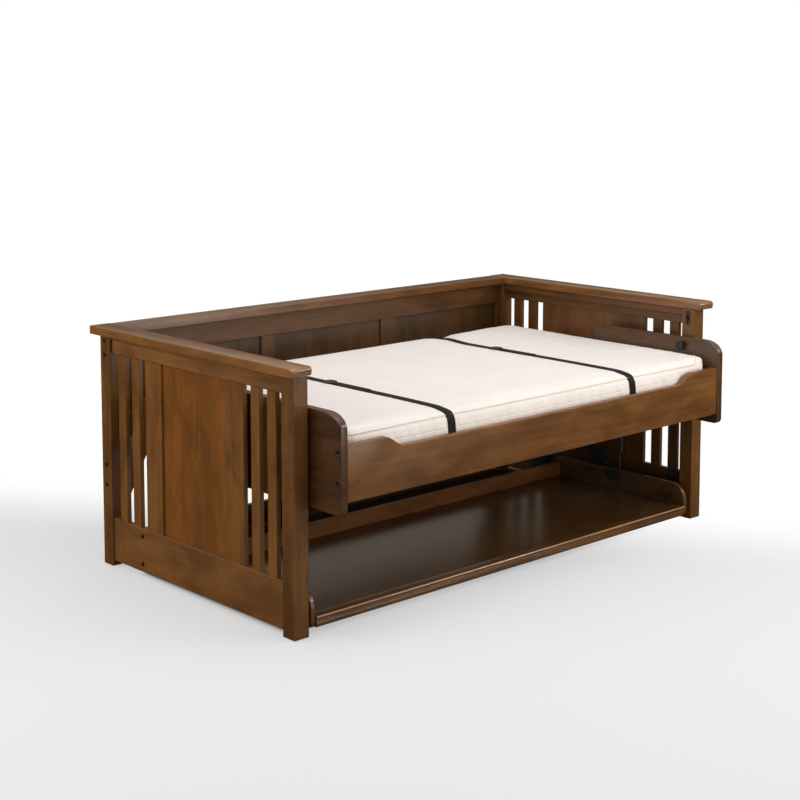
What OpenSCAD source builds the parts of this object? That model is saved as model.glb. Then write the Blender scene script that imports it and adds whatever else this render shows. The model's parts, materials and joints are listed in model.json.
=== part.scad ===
// A desk bed: a slatted daybed frame that carries a folding bed and, hung under it, a desk.
// Folding the bed up against the back lifts the desk, which two pairs of parallel arms keep level.
// X runs along the length, -Y is the front and Z is up, all in millimetres.
// The origin is on the floor, under the middle of the whole outline.

/* [Frame] */
// Length over the outer faces of the posts
frame_len = 2104; // [1900:1:2300]
// Depth over the outer faces of the posts
frame_depth = 1112; // [1090:1:1200]
// Height to the top of the caps
frame_h = 885; // [870:1:960]
// Side of a square post
post_w = 60; // [54:1:66]
// Radius of the eased edges of the timber
edge_r = 2.5; // [1:0.5:4]
// Height of the nylon glides under the posts
glide_h = 4; // [3:1:8]
// Radius of a glide
glide_r = 22; // [15:1:26]

/* [Caps] */
// Thickness of the caps
cap_t = 30; // [24:1:36]
// Width of the caps
cap_w = 84; // [78:1:92]
// How far the end caps stand out past the posts at the sides
cap_side = 28; // [20:1:30]
// How far the end caps stand out behind the posts
cap_rear = 24; // [12:1:30]
// How far the end caps stand out in front of the posts
cap_front = 26; // [16:1:34]
// How far the back cap's rear edge lies in front of the end caps' rear edges
back_cap_set = 6; // [2:1:12]
// Width and height of the cleats that the end caps are screwed to
cleat = 18; // [14:1:20]

/* [End panels] */
// Bottom rail, lower edge over the floor
low_rail_z = 22; // [15:1:40]
// Bottom rail height
low_rail_h = 160; // [120:1:180]
// Bottom rail thickness
low_rail_t = 22; // [20:1:24]
// Setback of the bottom rail from the posts' outer faces
low_rail_set = 8; // [4:1:10]
// Top rail height
top_rail_h = 65; // [50:1:90]
// Thickness of the top rail, stiles and slats
board_t = 18; // [16:1:20]
// Setback of the top rail from the posts' outer faces
top_rail_set = 12; // [8:1:14]
// Setback of the stiles and slats from the posts' outer faces
stile_set = 10; // [8:1:14]
// Width of a slat
slat_w = 46; // [36:1:50]
// Open gap beside a slat
slat_gap = 40; // [30:1:44]
// Width of a stile
stile_w = 98; // [80:1:110]
// Thickness of the centre panel
panel_t = 8; // [6:1:8]
// How far the centre panel lies behind the stiles' outer faces
panel_set = 9; // [7:1:10]

/* [Back] */
// Distance from the rear posts' inner corner to the face of the back
back_set = 22; // [18:1:24]
// Thickness of the back's rails and stiles
back_t = 20; // [18:1:22]
// Height of the back's top rail
back_rail_h = 87; // [70:1:100]
// Lower edge of the panelled back over the floor
back_low_z = 477; // [420:1:520]
// Height of the back's bottom rail
back_low_h = 80; // [60:1:100]
// Width of the two middle stiles of the back
back_stile_w = 65; // [50:1:80]
// Distance from the middle to the centre of a middle stile
back_stile_x = 314; // [260:1:360]
// Width of the narrow stiles beside the posts
back_end_w = 20; // [16:1:40]
// Thickness of the back's panels
back_panel_t = 8; // [6:1:10]
// How far the panels lie behind the stiles' front faces
back_panel_set = 8; // [4:1:10]
// Height of the low stretcher
stretcher_h = 86; // [60:1:110]
// Width of a corner gusset along the back's lower edge
gusset_w = 153; // [100:1:220]
// Height of a corner gusset down the post
gusset_h = 298; // [200:1:330]

/* [Bed] */
// Gap between a post and the bed's end board
bed_gap = 8; // [6:1:12]
// Thickness of the bed's end boards
bed_end_t = 31; // [26:1:34]
// Thickness of the bed's front and rear rails
bed_rail_t = 22; // [18:1:26]
// Height of an end board's raised part
bed_end_h = 323; // [300:1:350]
// Height of an end board's low rear part
bed_end_low_h = 209; // [160:1:240]
// Length of an end board's raised part
bed_end_run = 644; // [600:1:720]
// Length of the raised part's rounded corners
bed_end_r = 74; // [40:1:90]
// Height of the raised part's rounded corners
bed_end_drop = 52; // [36:1:70]
// Radius of the end boards' lower corners
bed_end_foot_r = 18; // [10:1:30]
// How far the end boards stand in front of the front rail
bed_lip = 4; // [2:1:24]
// Height of the lower edge of the rails over that of the end boards
bed_rail_up = 38; // [30:1:60]
// Height of the rails along their middle
bed_rail_h = 148; // [120:1:160]
// How far the front rail rises at its ends
ear_h = 38; // [20:1:40]
// Length of the level top of a raised rail end
ear_len = 158; // [120:1:220]
// Length of the curve between a raised rail end and the middle
ear_curve = 88; // [60:1:120]
// Height of the battens under the deck
batten_h = 28; // [20:1:32]
// Width of a batten
batten_w = 60; // [40:1:80]
// Thickness of the deck
deck_t = 12; // [9:1:15]

/* [Mattress] */
// Width of the mattress, front to back
mattress_w = 1059; // [980:1:1080]
// Place of the mattress's rear edge behind the middle of the frame
mattress_rear = 385; // [300:1:390]
// Thickness of the mattress at its edge
mattress_h = 184; // [150:1:190]
// Rise of the crown over the edge
crown = 8; // [2:1:10]
// Radius of the mattress's top edge
mattress_edge = 28; // [20:1:45]
// Radius of the mattress's corners in plan
mattress_corner = 60; // [40:1:90]
// How far the sides draw in between the corners
draw_in = 4; // [1:1:8]
// Gap between the mattress and the bed's boards
mattress_gap = 4; // [4:1:8]
// Width of a strap
strap_w = 35; // [25:1:50]
// Thickness of a strap
strap_t = 2; // [1.5:0.5:2.5]
// Distance of a strap from the middle of the bed
strap_x = 470; // [350:1:600]
// Distance of the left buckle behind the mattress's front edge
buckle_left_y = 630; // [400:1:740]
// Distance of the right buckle behind the mattress's front edge
buckle_right_y = 705; // [400:1:760]

/* [Desk] */
// Height of the desk's surface over the floor when it is down
desk_z = 63; // [55:1:90]
// Thickness of the desktop
desk_t = 20; // [18:1:24]
// Place of the desk's front edge in front of the middle of the frame
desk_front = 556; // [520:1:565]
// Place of the desk's rear edge behind the middle of the frame
desk_rear = 133; // [100:1:136]
// Depth of the moulded front edge
nose_d = 42; // [30:1:50]
// Height of the moulded front edge
nose_h = 38; // [30:1:42]
// Thickness of the desk's side boards
desk_side_t = 20; // [18:1:22]
// Gap between a side board and the post beside it
desk_gap = 14; // [13:1:16]
// Height of a side board over the desk's surface
desk_side_up = 84; // [72:1:100]
// Setback of a side board's front edge from the moulded edge
desk_side_set = 8; // [4:1:14]
// Radius of a side board's upper front corner
desk_side_r = 65; // [30:1:75]
// Thickness of the board along the desk's rear edge
desk_back_t = 18; // [15:1:20]
// Height of that board over the desk's surface
desk_back_up = 58; // [40:1:70]

/* [Mechanism] */
// Place of the bed's pivot behind the middle of the frame
pivot_y = 170; // [165:1:172]
// Height of the arm's lower pin over the desk's surface
arm_pin_up = 52; // [48:1:54]
// Distance of the lower pin in front of the bed's pivot
arm_run = 340; // [336:1:346]
// Distance of the lower pin under the bed's pivot
arm_rise = 391; // [386:1:396]
// Height of the bed's pivot over the end boards' lower edge
pivot_up = 82; // [72:1:83]
// Thickness of the steel arms
arm_t = 6; // [5:1:7]
// Width of an arm
arm_w = 50; // [40:1:56]
// Distance of the arm's elbow behind the lower pin
elbow_y = 92; // [80:1:110]
// Height of the arm's elbow over the lower pin
elbow_z = 43; // [30:1:60]
// Distance of the levelling pins in front of the arm's pins
level_y = 20; // [15:1:30]
// Distance of the levelling pins under the arm's pins
level_z = 70; // [62:1:74]
// Thickness of a levelling link
link_t = 5; // [4:1:6]
// Width of a levelling link
link_w = 28; // [24:1:34]
// Thickness of the pivot plates on the end panels
plate_t = 6; // [4:1:8]
// Radius of the bed's pivot pins
pivot_r = 10; // [8:0.5:12]
// Radius of the arms' lower pins
arm_pin_r = 8; // [6:0.5:10]
// Radius of the levelling pins
level_pin_r = 6; // [5:0.5:7]
// Running clearance of a pin in its bore
run_c = 0.05; // [0.02:0.01:0.1]
// Side clearance between moving plates
side_c = 0.3; // [0.2:0.1:0.6]

/* [Locks] */
// Radius of a sliding lock pin
lock_r = 5; // [4:0.5:6]
// Clearance of a lock pin in the board that carries it
lock_c = 0.3; // [0.2:0.1:0.5]
// Radius of a lock hole in a post
lock_hole_r = 7; // [7:0.5:8]
// Depth of a lock hole in a post
lock_hole_d = 22; // [15:1:30]
// Travel of the bed's lock pins
bed_lock_travel = 10; // [8:1:12]
// Travel of the desk's lock pins
desk_lock_travel = 12; // [8:1:14]
// Radius of the bed's lock knobs
bed_knob_r = 18; // [15:1:20]
// Length of the bed's lock knobs
bed_knob_h = 20; // [16:1:24]
// Radius of the desk's lock knobs
desk_knob_r = 10; // [8:1:14]
// Length of the desk's lock knobs
desk_knob_h = 14; // [10:1:18]
// Height of the bed's lock over the end boards' lower edge
bed_lock_up = 291; // [285:1:295]
// Height of the desk's lock pin over the desk's surface
desk_lock_up = 26; // [20:1:40]
// Thickness of the keyhole plates
lock_plate_t = 2.5; // [2:0.5:3]

/* [Arm springs] */
// Wire diameter
wire_d = 2.5; // [2:0.5:3]
// Mean radius of the coil
coil_r = 6.9; // [6:0.1:7.4]
// Number of curls
curls = 30; // [16:1:36]
// Rise of one curl
curl_pitch = 6.2; // [5:0.1:7]
// Height of the first curl over the arm's lower pin
coil_up = 100; // [90:1:110]
// Distance of the spring in front of the arm's lower pin
coil_y = 29; // [26:1:32]

/* [Hardware] */
// Radius of a bolt head
bolt_r = 8; // [6:1:10]
// Height of a bolt head
bolt_h = 2.5; // [2:0.5:3]
// Thickness of the angle and anchor plates on the bottom rails
anchor_t = 4; // [3:1:6]

/* [Hidden] */
$fn = 48;

wood = "#5A361F";
wood_light = "#7A5A40";
steel = "#1C2426";
black = "#121212";
cream = "#F2ECE4";
nylon = "#D8D4CC";

// Frame
half_len = frame_len / 2;
half_depth = frame_depth / 2;
post_in_x = half_len - post_w;
post_in_y = half_depth - post_w;
post_mid_y = half_depth - post_w / 2;
post_mid_x = half_len - post_w / 2;
cap_z = frame_h - cap_t;
top_rail_z = cap_z - top_rail_h;
low_rail_top = low_rail_z + low_rail_h;
low_rail_in = half_len - low_rail_set - low_rail_t;
top_rail_in = half_len - top_rail_set - board_t;
stile_in = half_len - stile_set - board_t;
cap_in_x = half_len + cap_side - cap_w;
cap_rear_y = half_depth + cap_rear;

// Places along the end panel, from the front post inwards
slat_1 = post_in_y - slat_gap;
slat_2 = slat_1 - slat_w - slat_gap;
stile_1 = slat_2 - slat_w - slat_gap;
panel_half = stile_1 - stile_w;

// Back
back_y = post_in_y + back_set;
back_rail_z = cap_z - back_rail_h;
back_low_top = back_low_z + back_low_h;

// Mechanism, as [y, z] points in the plane of the end panels
arm_pin = [pivot_y - arm_run, desk_z + arm_pin_up];
bed_pivot = [pivot_y, arm_pin[1] + arm_rise];
level_off = [-level_y, -level_z];
level_pivot = bed_pivot + level_off;
level_pin = arm_pin + level_off;
elbow = arm_pin + [elbow_y, elbow_z];
desk_lift = [arm_run - arm_rise, arm_run + arm_rise];

// Bed
bed_out = post_in_x - bed_gap;
bed_in = bed_out - bed_end_t;
bed_low = bed_pivot[1] - pivot_up;
bed_rail_z = bed_low + bed_rail_up;
rail_front_in = mattress_rear - mattress_w - mattress_gap;
rail_front = rail_front_in - bed_rail_t;
bed_front = rail_front - bed_lip;
rail_rear_in = mattress_rear + mattress_gap;
rail_rear = rail_rear_in + bed_rail_t;
deck_z = bed_rail_z + batten_h;
mattress_x = bed_in - mattress_gap;
mattress_z = deck_z + deck_t + side_c;
mattress_y0 = mattress_rear - mattress_w;

// Desk
desk_out = post_in_x - desk_gap;
desk_in = desk_out - desk_side_t;
desk_low = desk_z - nose_h;
desk_side_top = desk_z + desk_side_up;
desk_side_front = -desk_front + desk_side_set;
desk_back_y = desk_rear - desk_back_t;

// Layers outwards from the bed's end boards. The link runs clear of the arm's pin head.
pin_head_t = 4;
link_space = 10;
head_ratio = 1.7;
arm_x = bed_out;
arm_x1 = arm_x + arm_t;
plate_x = stile_in - plate_t;
link_x = arm_x1 + link_space;
link_x1 = link_x + link_t;
// The spring passes between the desk's side boards and the caps when the bed is up
spring_x = (desk_out + cap_in_x) / 2;

// Locks
bed_lock = [-post_mid_y, bed_low + bed_lock_up];
desk_lock = [-post_mid_y - desk_lift[0], desk_z + desk_lock_up];
desk_lock_up_point = desk_lock + desk_lift;

// The front of the end boards and the rear of the end caps are the outline's two ends
y_shift = -(bed_front + cap_rear_y) / 2;

function oval(c, rx, ry, a0, a1, n = 10) =
    [for (i = [0 : n]) let (a = a0 + (a1 - a0) * i / n) c + [rx * cos(a), ry * sin(a)]];
function arc(c, r, a0, a1, n = 10) = oval(c, r, r, a0, a1, n);

module in_frame() { translate([0, y_shift, 0]) children(); }

module side(s) {
    if (s < 0) mirror([1, 0, 0]) children();
    else children();
}

// A flat outline in Y and Z, made thick along X from x0
module yz(x0, t) { translate([x0, 0, 0]) rotate([90, 0, 90]) linear_extrude(t) children(); }

// A flat outline in X and Z, made thick along Y from y0
module xz(y0, t) { translate([0, y0 + t, 0]) rotate([90, 0, 0]) linear_extrude(t) children(); }

module eased(w, h, r = edge_r) {
    translate([r, 0]) square([w - 2 * r, h]);
    translate([0, r]) square([w, h - 2 * r]);
    for (x = [r, w - r], y = [r, h - r]) translate([x, y]) circle(r, $fn = 24);
}

// Boards whose long edges are eased; each runs between two corners
module board_x(a, b, r = edge_r) {
    yz(a[0], b[0] - a[0]) translate([a[1], a[2]]) eased(b[1] - a[1], b[2] - a[2], r);
}

module board_y(a, b, r = edge_r) {
    xz(a[1], b[1] - a[1]) translate([a[0], a[2]]) eased(b[0] - a[0], b[2] - a[2], r);
}

module board_z(a, b, r = edge_r) {
    translate([a[0], a[1], a[2]]) linear_extrude(b[2] - a[2]) eased(b[0] - a[0], b[1] - a[1], r);
}

// A round bar or bore along X, at a [y, z] point
module bar(p, x0, x1, r) { translate([x0, p[0], p[1]]) rotate([0, 90, 0]) cylinder(x1 - x0, r, r); }

// Outlines of flat steel bars, turned counter-clockwise: one straight, one bent at an elbow.
// The bent one is square at its start, where a round plate covers it.
function unit(v) = v / norm(v);
function left_of(v) = [-v[1], v[0]];
function link_outline(a, b, w) = let (t = atan2(b[1] - a[1], b[0] - a[0]))
    concat(arc(a, w / 2, t + 90, t + 270, 12), arc(b, w / 2, t - 90, t + 90, 12));
function bent_outline(a, bend, b, w) = let (
    n0 = left_of(unit(bend - a)),
    n1 = left_of(unit(b - bend)),
    m = (n0 + n1) / (1 + n0 * n1),
    t = atan2(n1[1], n1[0]))
    concat([bend + m * w / 2, a + n0 * w / 2, a - n0 * w / 2, bend - m * w / 2], arc(b, w / 2, t - 180, t, 12));

// Posts, with the blind holes that the lock pins of the bed and the desk enter
module post(s, front) {
    y0 = front ? -half_depth : post_in_y;
    color(wood) side(s) difference() {
        board_z([post_in_x, y0, glide_h], [half_len, y0 + post_w, cap_z], edge_r);
        if (front) {
            bar(bed_lock, post_in_x - 1, post_in_x + lock_hole_d, lock_hole_r);
            bar(desk_lock_up_point, post_in_x - 1, post_in_x + lock_hole_d, lock_hole_r);
        }
    }
}

// Cap of an end panel, moulded at its front end: a round nose over two thin beads
nose_r = cap_t * 0.4;
bead = 1.5;

module end_cap(s) {
    y0 = -half_depth - cap_front;
    z1 = frame_h - nose_r;
    low_r = cap_t * 0.23;
    profile = concat(
        [[cap_rear_y, cap_z], [cap_rear_y, frame_h]],
        arc([y0 + nose_r, z1], nose_r, 90, 180, 8),
        [[y0, z1 - 2 * bead], [y0 + bead, z1 - 2.3 * bead], [y0 + bead, z1 - 3 * bead]],
        [[y0, z1 - 3.3 * bead], [y0, z1 - 5 * bead], [y0 + bead, z1 - 5.3 * bead]],
        arc([y0 + bead + low_r, cap_z + low_r], low_r, 180, 270, 6));
    color(wood_light) side(s) yz(cap_in_x, cap_w) polygon(profile);
}

module back_cap() {
    y1 = cap_rear_y - back_cap_set;
    color(wood_light) board_x([-cap_in_x, y1 - cap_w, cap_z], [cap_in_x, y1, frame_h]);
}

module top_rail(s) {
    color(wood) side(s)
        board_y([top_rail_in, -post_in_y, top_rail_z], [top_rail_in + board_t, post_in_y, cap_z]);
}

module bottom_rail(s) {
    color(wood) side(s)
        board_y([low_rail_in, -post_in_y, low_rail_z], [low_rail_in + low_rail_t, post_in_y, low_rail_top]);
}

module cleats() {
    color(wood) for (s = [-1, 1]) side(s)
        board_y([top_rail_in - cleat, -post_in_y, cap_z - cleat * 1.6], [top_rail_in, post_in_y, cap_z]);
}

module upright(y0, w) {
    board_z([stile_in, y0, low_rail_top], [stile_in + board_t, y0 + w, top_rail_z]);
}

module stiles(s) {
    color(wood) side(s) for (m = [0, 1]) mirror([0, m, 0]) upright(panel_half, stile_w);
}

module slats(s) {
    color(wood) side(s) for (m = [0, 1]) mirror([0, m, 0]) {
        upright(slat_1 - slat_w, slat_w);
        upright(slat_2 - slat_w, slat_w);
    }
}

module end_panel(s) {
    x1 = half_len - stile_set - panel_set;
    color(wood) side(s) translate([x1 - panel_t, -panel_half, low_rail_top])
        cube([panel_t, 2 * panel_half, top_rail_z - low_rail_top]);
}

module back_board(z0, z1) {
    color(wood) board_x([-post_in_x, back_y, z0], [post_in_x, back_y + back_t, z1]);
}

module back_upright(x0, w) {
    board_z([x0, back_y, back_low_top], [x0 + w, back_y + back_t, back_rail_z]);
}

module back_stiles() {
    color(wood) for (s = [-1, 1]) side(s) {
        back_upright(back_stile_x - back_stile_w / 2, back_stile_w);
        back_upright(post_in_x - back_end_w, back_end_w);
    }
}

module back_panels() {
    inner = back_stile_x - back_stile_w / 2;
    outer = back_stile_x + back_stile_w / 2;
    h = back_rail_z - back_low_top;
    y0 = back_y + back_panel_set;
    color(wood) {
        translate([-inner, y0, back_low_top]) cube([2 * inner, back_panel_t, h]);
        for (s = [-1, 1]) side(s) translate([outer, y0, back_low_top])
            cube([post_in_x - back_end_w - outer, back_panel_t, h]);
    }
}

module gussets() {
    color(wood) for (s = [-1, 1]) side(s) xz(back_y, back_t)
        polygon([[post_in_x, back_low_z - gusset_h], [post_in_x, back_low_z],
            [post_in_x - gusset_w, back_low_z]]);
}

// Steel plate on the inner face of a stile; it carries the bed's pivot and the link's
module pivot_plates() {
    margin = 40;
    y1 = stile_1 - 10;
    color(steel) for (s = [-1, 1]) side(s) yz(plate_x, plate_t) {
        translate([level_pivot[0] - margin, level_pivot[1] - margin])
            square([y1 - level_pivot[0] + margin, level_z + 2 * margin]);
    }
}

module pivot_pins() {
    tip = bed_in + 1;
    color(steel) for (s = [-1, 1]) side(s) {
        bar(bed_pivot, tip, plate_x, pivot_r);
        bar(bed_pivot, arm_x1 + side_c, plate_x, pivot_r * head_ratio);
        bar(level_pivot, link_x - side_c, plate_x, level_pin_r);
        bar(level_pivot, link_x1 + side_c, plate_x, level_pin_r * head_ratio);
        bar(level_pivot, link_x - side_c - pin_head_t, link_x - side_c, level_pin_r * head_ratio);
    }
}

// Keyhole plate on a front post: the round hole takes the desk's lock pin
module lock_plates() {
    w = 22;
    h = 36;
    color(black) for (s = [-1, 1]) side(s) yz(post_in_x - lock_plate_t, lock_plate_t) difference() {
        translate(desk_lock_up_point) {
            translate([-w / 2, -h / 2]) square([w, h]);
            translate([0, h / 2]) circle(w / 2);
            translate([0, -h / 2]) circle(w / 2);
        }
        translate(desk_lock_up_point) circle(lock_hole_r);
        translate(desk_lock_up_point + [-2, -h / 2 - 2]) square([4, h / 2]);
    }
}

// On each bottom rail: a small plate near the front post, and a plate with a round boss at the rear
anchor_y = 250;
anchor_bolt_y = 313;

module anchor_plates() {
    front_y = slat_1 - 42;
    color(steel) for (s = [-1, 1]) side(s) {
        translate([low_rail_in - anchor_t, -front_y - 60, low_rail_top - 70]) cube([anchor_t, 60, 68]);
        translate([low_rail_in - anchor_t, anchor_y - 30, low_rail_z + 14])
            cube([anchor_t, anchor_bolt_y - anchor_y + 52, low_rail_h - 28]);
        bar([anchor_y, low_rail_z + 88], low_rail_in - anchor_t - 22, low_rail_in - anchor_t, 20);
    }
}

// Bolt heads on the posts, bottom rails and gussets
module frame_bolts() {
    y = back_y + back_t / 2;
    color(black) for (s = [-1, 1]) side(s) {
        for (z = [back_rail_z + 66, back_rail_z + 14, back_low_z - 100, back_low_z - 175])
            bar([y, z], half_len, half_len + bolt_h, bolt_r);
        for (z = [low_rail_z + 29, low_rail_top - 29])
            bar([anchor_bolt_y, z], half_len - low_rail_set, half_len - low_rail_set + bolt_h, bolt_r);
        translate([post_in_x - 60, back_y, back_low_z - 50]) rotate([90, 0, 0]) cylinder(bolt_h, bolt_r, bolt_r);
    }
}

module glides() {
    color(nylon) for (x = [-1, 1], y = [-1, 1])
        translate([x * post_mid_x, y * post_mid_y, 0]) cylinder(glide_h, glide_r, glide_r);
}

// Bed
module bed_front_rail() {
    z1 = bed_rail_z + bed_rail_h;
    x1 = bed_in - ear_len - ear_curve;
    half = concat(
        [for (i = [0 : 12]) [x1 + ear_curve * i / 12, z1 + ear_h * (1 - cos(15 * i)) / 2]],
        [[bed_in, z1 + ear_h], [bed_in, bed_rail_z]]);
    other = [for (i = [len(half) - 1 : -1 : 0]) [-half[i][0], half[i][1]]];
    color(wood) xz(rail_front, bed_rail_t) polygon(concat(half, other));
}

module bed_rear_rail() {
    color(wood) board_x([-bed_in, rail_rear_in, bed_rail_z], [bed_in, rail_rear, bed_rail_z + bed_rail_h]);
}

module bed_end(s) {
    r = bed_end_r;
    drop = bed_end_drop;
    step_y = bed_front + bed_end_run;
    top = bed_low + bed_end_h;
    low = bed_low + bed_end_low_h;
    fillet = 25;
    foot = bed_end_foot_r;
    outline = concat(
        arc([bed_front + foot, bed_low + foot], foot, 270, 180, 5),
        oval([bed_front + r, top - drop], r, drop, 180, 90),
        oval([step_y - r, top - drop], r, drop, 90, 0),
        arc([step_y + fillet, low + fillet], fillet, 180, 270, 6),
        arc([rail_rear + 3 - 30, low - 30], 30, 90, 0, 6),
        arc([rail_rear + 3 - foot, bed_low + foot], foot, 0, -90, 5));
    color(wood) side(s) difference() {
        yz(bed_in, bed_end_t) polygon(outline);
        bar(bed_pivot, bed_in - 1, bed_out + 1, pivot_r + run_c);
        bar(bed_lock, bed_in - 1, bed_out + 1, lock_r + lock_c);
    }
}

module bed_deck() {
    color(wood) translate([-bed_in, rail_front_in, deck_z])
        cube([2 * bed_in, rail_rear_in - rail_front_in, deck_t]);
}

module bed_battens() {
    n = 5;
    color(wood) for (i = [0 : n - 1]) {
        x = (i - (n - 1) / 2) * (2 * bed_in - batten_w) / (n - 1);
        board_y([x - batten_w / 2, rail_front_in, bed_rail_z], [x + batten_w / 2, rail_rear_in, deck_z]);
    }
}

// Bolt heads that hold the end boards to the rails, and the arms to the end boards
module bed_bolts() {
    front = rail_front + bed_rail_t / 2;
    rear = rail_rear_in + bed_rail_t / 2;
    places = [[front, bed_rail_h * 0.47], [front, bed_rail_h + ear_h / 2], [rear, bed_rail_h * 0.26], [rear, bed_rail_h * 0.86]];
    color(black) for (s = [-1, 1]) side(s) {
        for (p = places) bar([p[0], bed_rail_z + p[1]], bed_out, bed_out + bolt_h, bolt_r - 1);
        for (a = [20, 100, 190, 290])
            bar(bed_pivot + 30 * [cos(a), sin(a)], arm_x1, arm_x1 + bolt_h, bolt_r - 1);
    }
}

// Mattress: rings of one outline, each drawn in by its own amount at its own height
mattress_skin = 2;
crown_run = 260;
corner_steps = 4;
long_steps = 8;
short_steps = 4;
bottom_r = 14;

edge_rings = [for (a = [0 : 18 : 90])
    [mattress_skin + mattress_edge * (1 - cos(a)), mattress_h - mattress_edge * (1 - sin(a)), a == 0 ? 1 : 0.5]];
crown_rings = [for (t = [0.2, 0.5, 1])
    [mattress_skin + mattress_edge + crown_run * t, mattress_h + crown * (1 - pow(1 - t, 2)), 0]];
mattress_rings = concat(
    [[mattress_skin + bottom_r, 0, 0], [mattress_skin + 2, bottom_r, 0.5]],
    [[mattress_skin, mattress_h / 2, 1]], edge_rings, crown_rings);

// Outline of one ring, counter-clockwise from the middle of the right side's front corner
function ring_corner(c, r, a0) =
    [for (i = [0 : corner_steps]) c + r * [cos(a0 + 90 * i / corner_steps), sin(a0 + 90 * i / corner_steps)]];
function ring_side(a, b, n, pull, inward) =
    [for (i = [1 : n - 1]) a + (b - a) * i / n + inward * pull * sin(180 * i / n)];
function ring_outline(hx, hy, r, pull) = concat(
    ring_corner([hx - r, r - hy], r, -90),
    ring_side([hx, r - hy], [hx, hy - r], short_steps, pull, [-1, 0]),
    ring_corner([hx - r, hy - r], r, 0),
    ring_side([hx - r, hy], [r - hx, hy], long_steps, pull, [0, -1]),
    ring_corner([r - hx, hy - r], r, 90),
    ring_side([-hx, hy - r], [-hx, r - hy], short_steps, pull, [1, 0]),
    ring_corner([r - hx, r - hy], r, 180),
    ring_side([r - hx, -hy], [hx - r, -hy], long_steps, pull, [0, 1]));

module mattress() {
    mid_y = mattress_rear - mattress_w / 2;
    rings = [for (g = mattress_rings) [for (p = ring_outline(mattress_x - g[0], mattress_w / 2 - g[0],
        max(mattress_corner - g[0] / 2, 12), draw_in * g[2])) [p[0], mid_y + p[1], mattress_z + g[1]]]];
    n = len(rings[0]);
    m = len(rings);
    points = concat([for (r = rings) for (p = r) p],
        [[0, mid_y, mattress_z], [0, mid_y, mattress_z + mattress_h + crown]]);
    walls = [for (k = [0 : m - 2]) for (i = [0 : n - 1]) for (t = [0, 1])
        let (a = k * n + i, b = k * n + (i + 1) % n)
        t == 0 ? [a, a + n, b] : [b, a + n, b + n]];
    base = [for (i = [0 : n - 1]) [i, (i + 1) % n, m * n]];
    top = [for (i = [0 : n - 1]) [(m - 1) * n + (i + 1) % n, (m - 1) * n + i, m * n + 1]];
    color(cream) polyhedron(points, concat(walls, base, top));
}

// Straps: flat webbing that follows the mattress from behind its rear edge to behind the front rail.
// Each step of the route holds y, z and the outward direction there.
strap_off = strap_t / 2 + 0.4;
strap_low = bed_rail_z + bed_rail_h * 0.64;
half_route = concat(
    [[0, strap_low - mattress_z, -1, 0], [0, mattress_h - mattress_edge, -1, 0]],
    [for (a = [18 : 18 : 90]) [mattress_edge * (1 - cos(a)), mattress_h - mattress_edge * (1 - sin(a)), -cos(a), sin(a)]],
    [for (t = [0.2, 0.5, 1]) [mattress_edge + crown_run * t, mattress_h + crown * (1 - pow(1 - t, 2)), 0, 1]]);
front_route = [for (p = half_route)
    [mattress_y0 + mattress_skin + p[0], mattress_z + p[1], p[2], p[3]]];
rear_route = [for (i = [len(half_route) - 1 : -1 : 0]) let (p = half_route[i])
    [mattress_rear - mattress_skin - p[0], mattress_z + p[1], -p[2], p[3]]];
strap_route = concat(front_route, rear_route);

module strap(x) {
    rings = [for (p = strap_route)
        [for (e = [[-1, -1], [1, -1], [1, 1], [-1, 1]])
            [x + e[0] * strap_w / 2, p[0] + p[2] * (strap_off + e[1] * strap_t / 2),
                p[1] + p[3] * (strap_off + e[1] * strap_t / 2)]]];
    m = len(rings);
    walls = [for (k = [0 : m - 2]) for (i = [0 : 3]) for (t = [0, 1])
        let (a = 4 * k + i, b = 4 * k + (i + 1) % 4)
        t == 0 ? [a, b, a + 4] : [b, b + 4, a + 4]];
    ends = [[2, 1, 0], [3, 2, 0], [4 * m - 4, 4 * m - 3, 4 * m - 2], [4 * m - 4, 4 * m - 2, 4 * m - 1]];
    color(black) polyhedron([for (r = rings) for (p = r) p], concat(walls, ends));
}

module buckle(x, d) {
    w = strap_w + 12;
    l = 34;
    h = 6;
    rise = crown * (1 - pow(1 - min((d - mattress_edge) / crown_run, (mattress_w - d - mattress_edge) / crown_run, 1), 2));
    z = mattress_z + mattress_h + rise + strap_off + strap_t / 2;
    translate([x, mattress_y0 + d, z]) linear_extrude(h) difference() {
        translate([-w / 2, -l / 2]) eased(w, l, 4);
        for (y = [-10, 4]) translate([-strap_w / 2 - 1, y]) square([strap_w + 2, 6]);
    }
}

module strap_buckles() {
    color(black) {
        buckle(-strap_x, buckle_left_y);
        buckle(strap_x, buckle_right_y);
    }
}

// Dog-leg arm: bolted to the end board round the bed's pivot, with the desk's pin at its lower end
module arm(s) {
    color(steel) side(s) difference() {
        yz(arm_x, arm_t) {
            polygon(bent_outline(bed_pivot, elbow, arm_pin, arm_w));
            translate(bed_pivot) circle(arm_w * 0.86);
        }
        bar(bed_pivot, arm_x - 1, arm_x1 + 1, pivot_r + run_c);
        bar(arm_pin, arm_x - 1, arm_x1 + 1, arm_pin_r + run_c);
    }
}

// Arm spring: one wire that rises from the arm, winds its curls and runs on up to its bracket
spring_at = arm_pin + [-coil_y, 0];
coil_z0 = arm_pin[1] + coil_up;
coil_z1 = coil_z0 + curls * curl_pitch;
foot_y = coil_y - coil_r - wire_d / 2;
wire_low = arm_pin[1] + sqrt(pow(arm_w / 2, 2) - pow(foot_y, 2)) + 0.1;
bracket_z = bed_low + 12;
curl_steps = 8;

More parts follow.
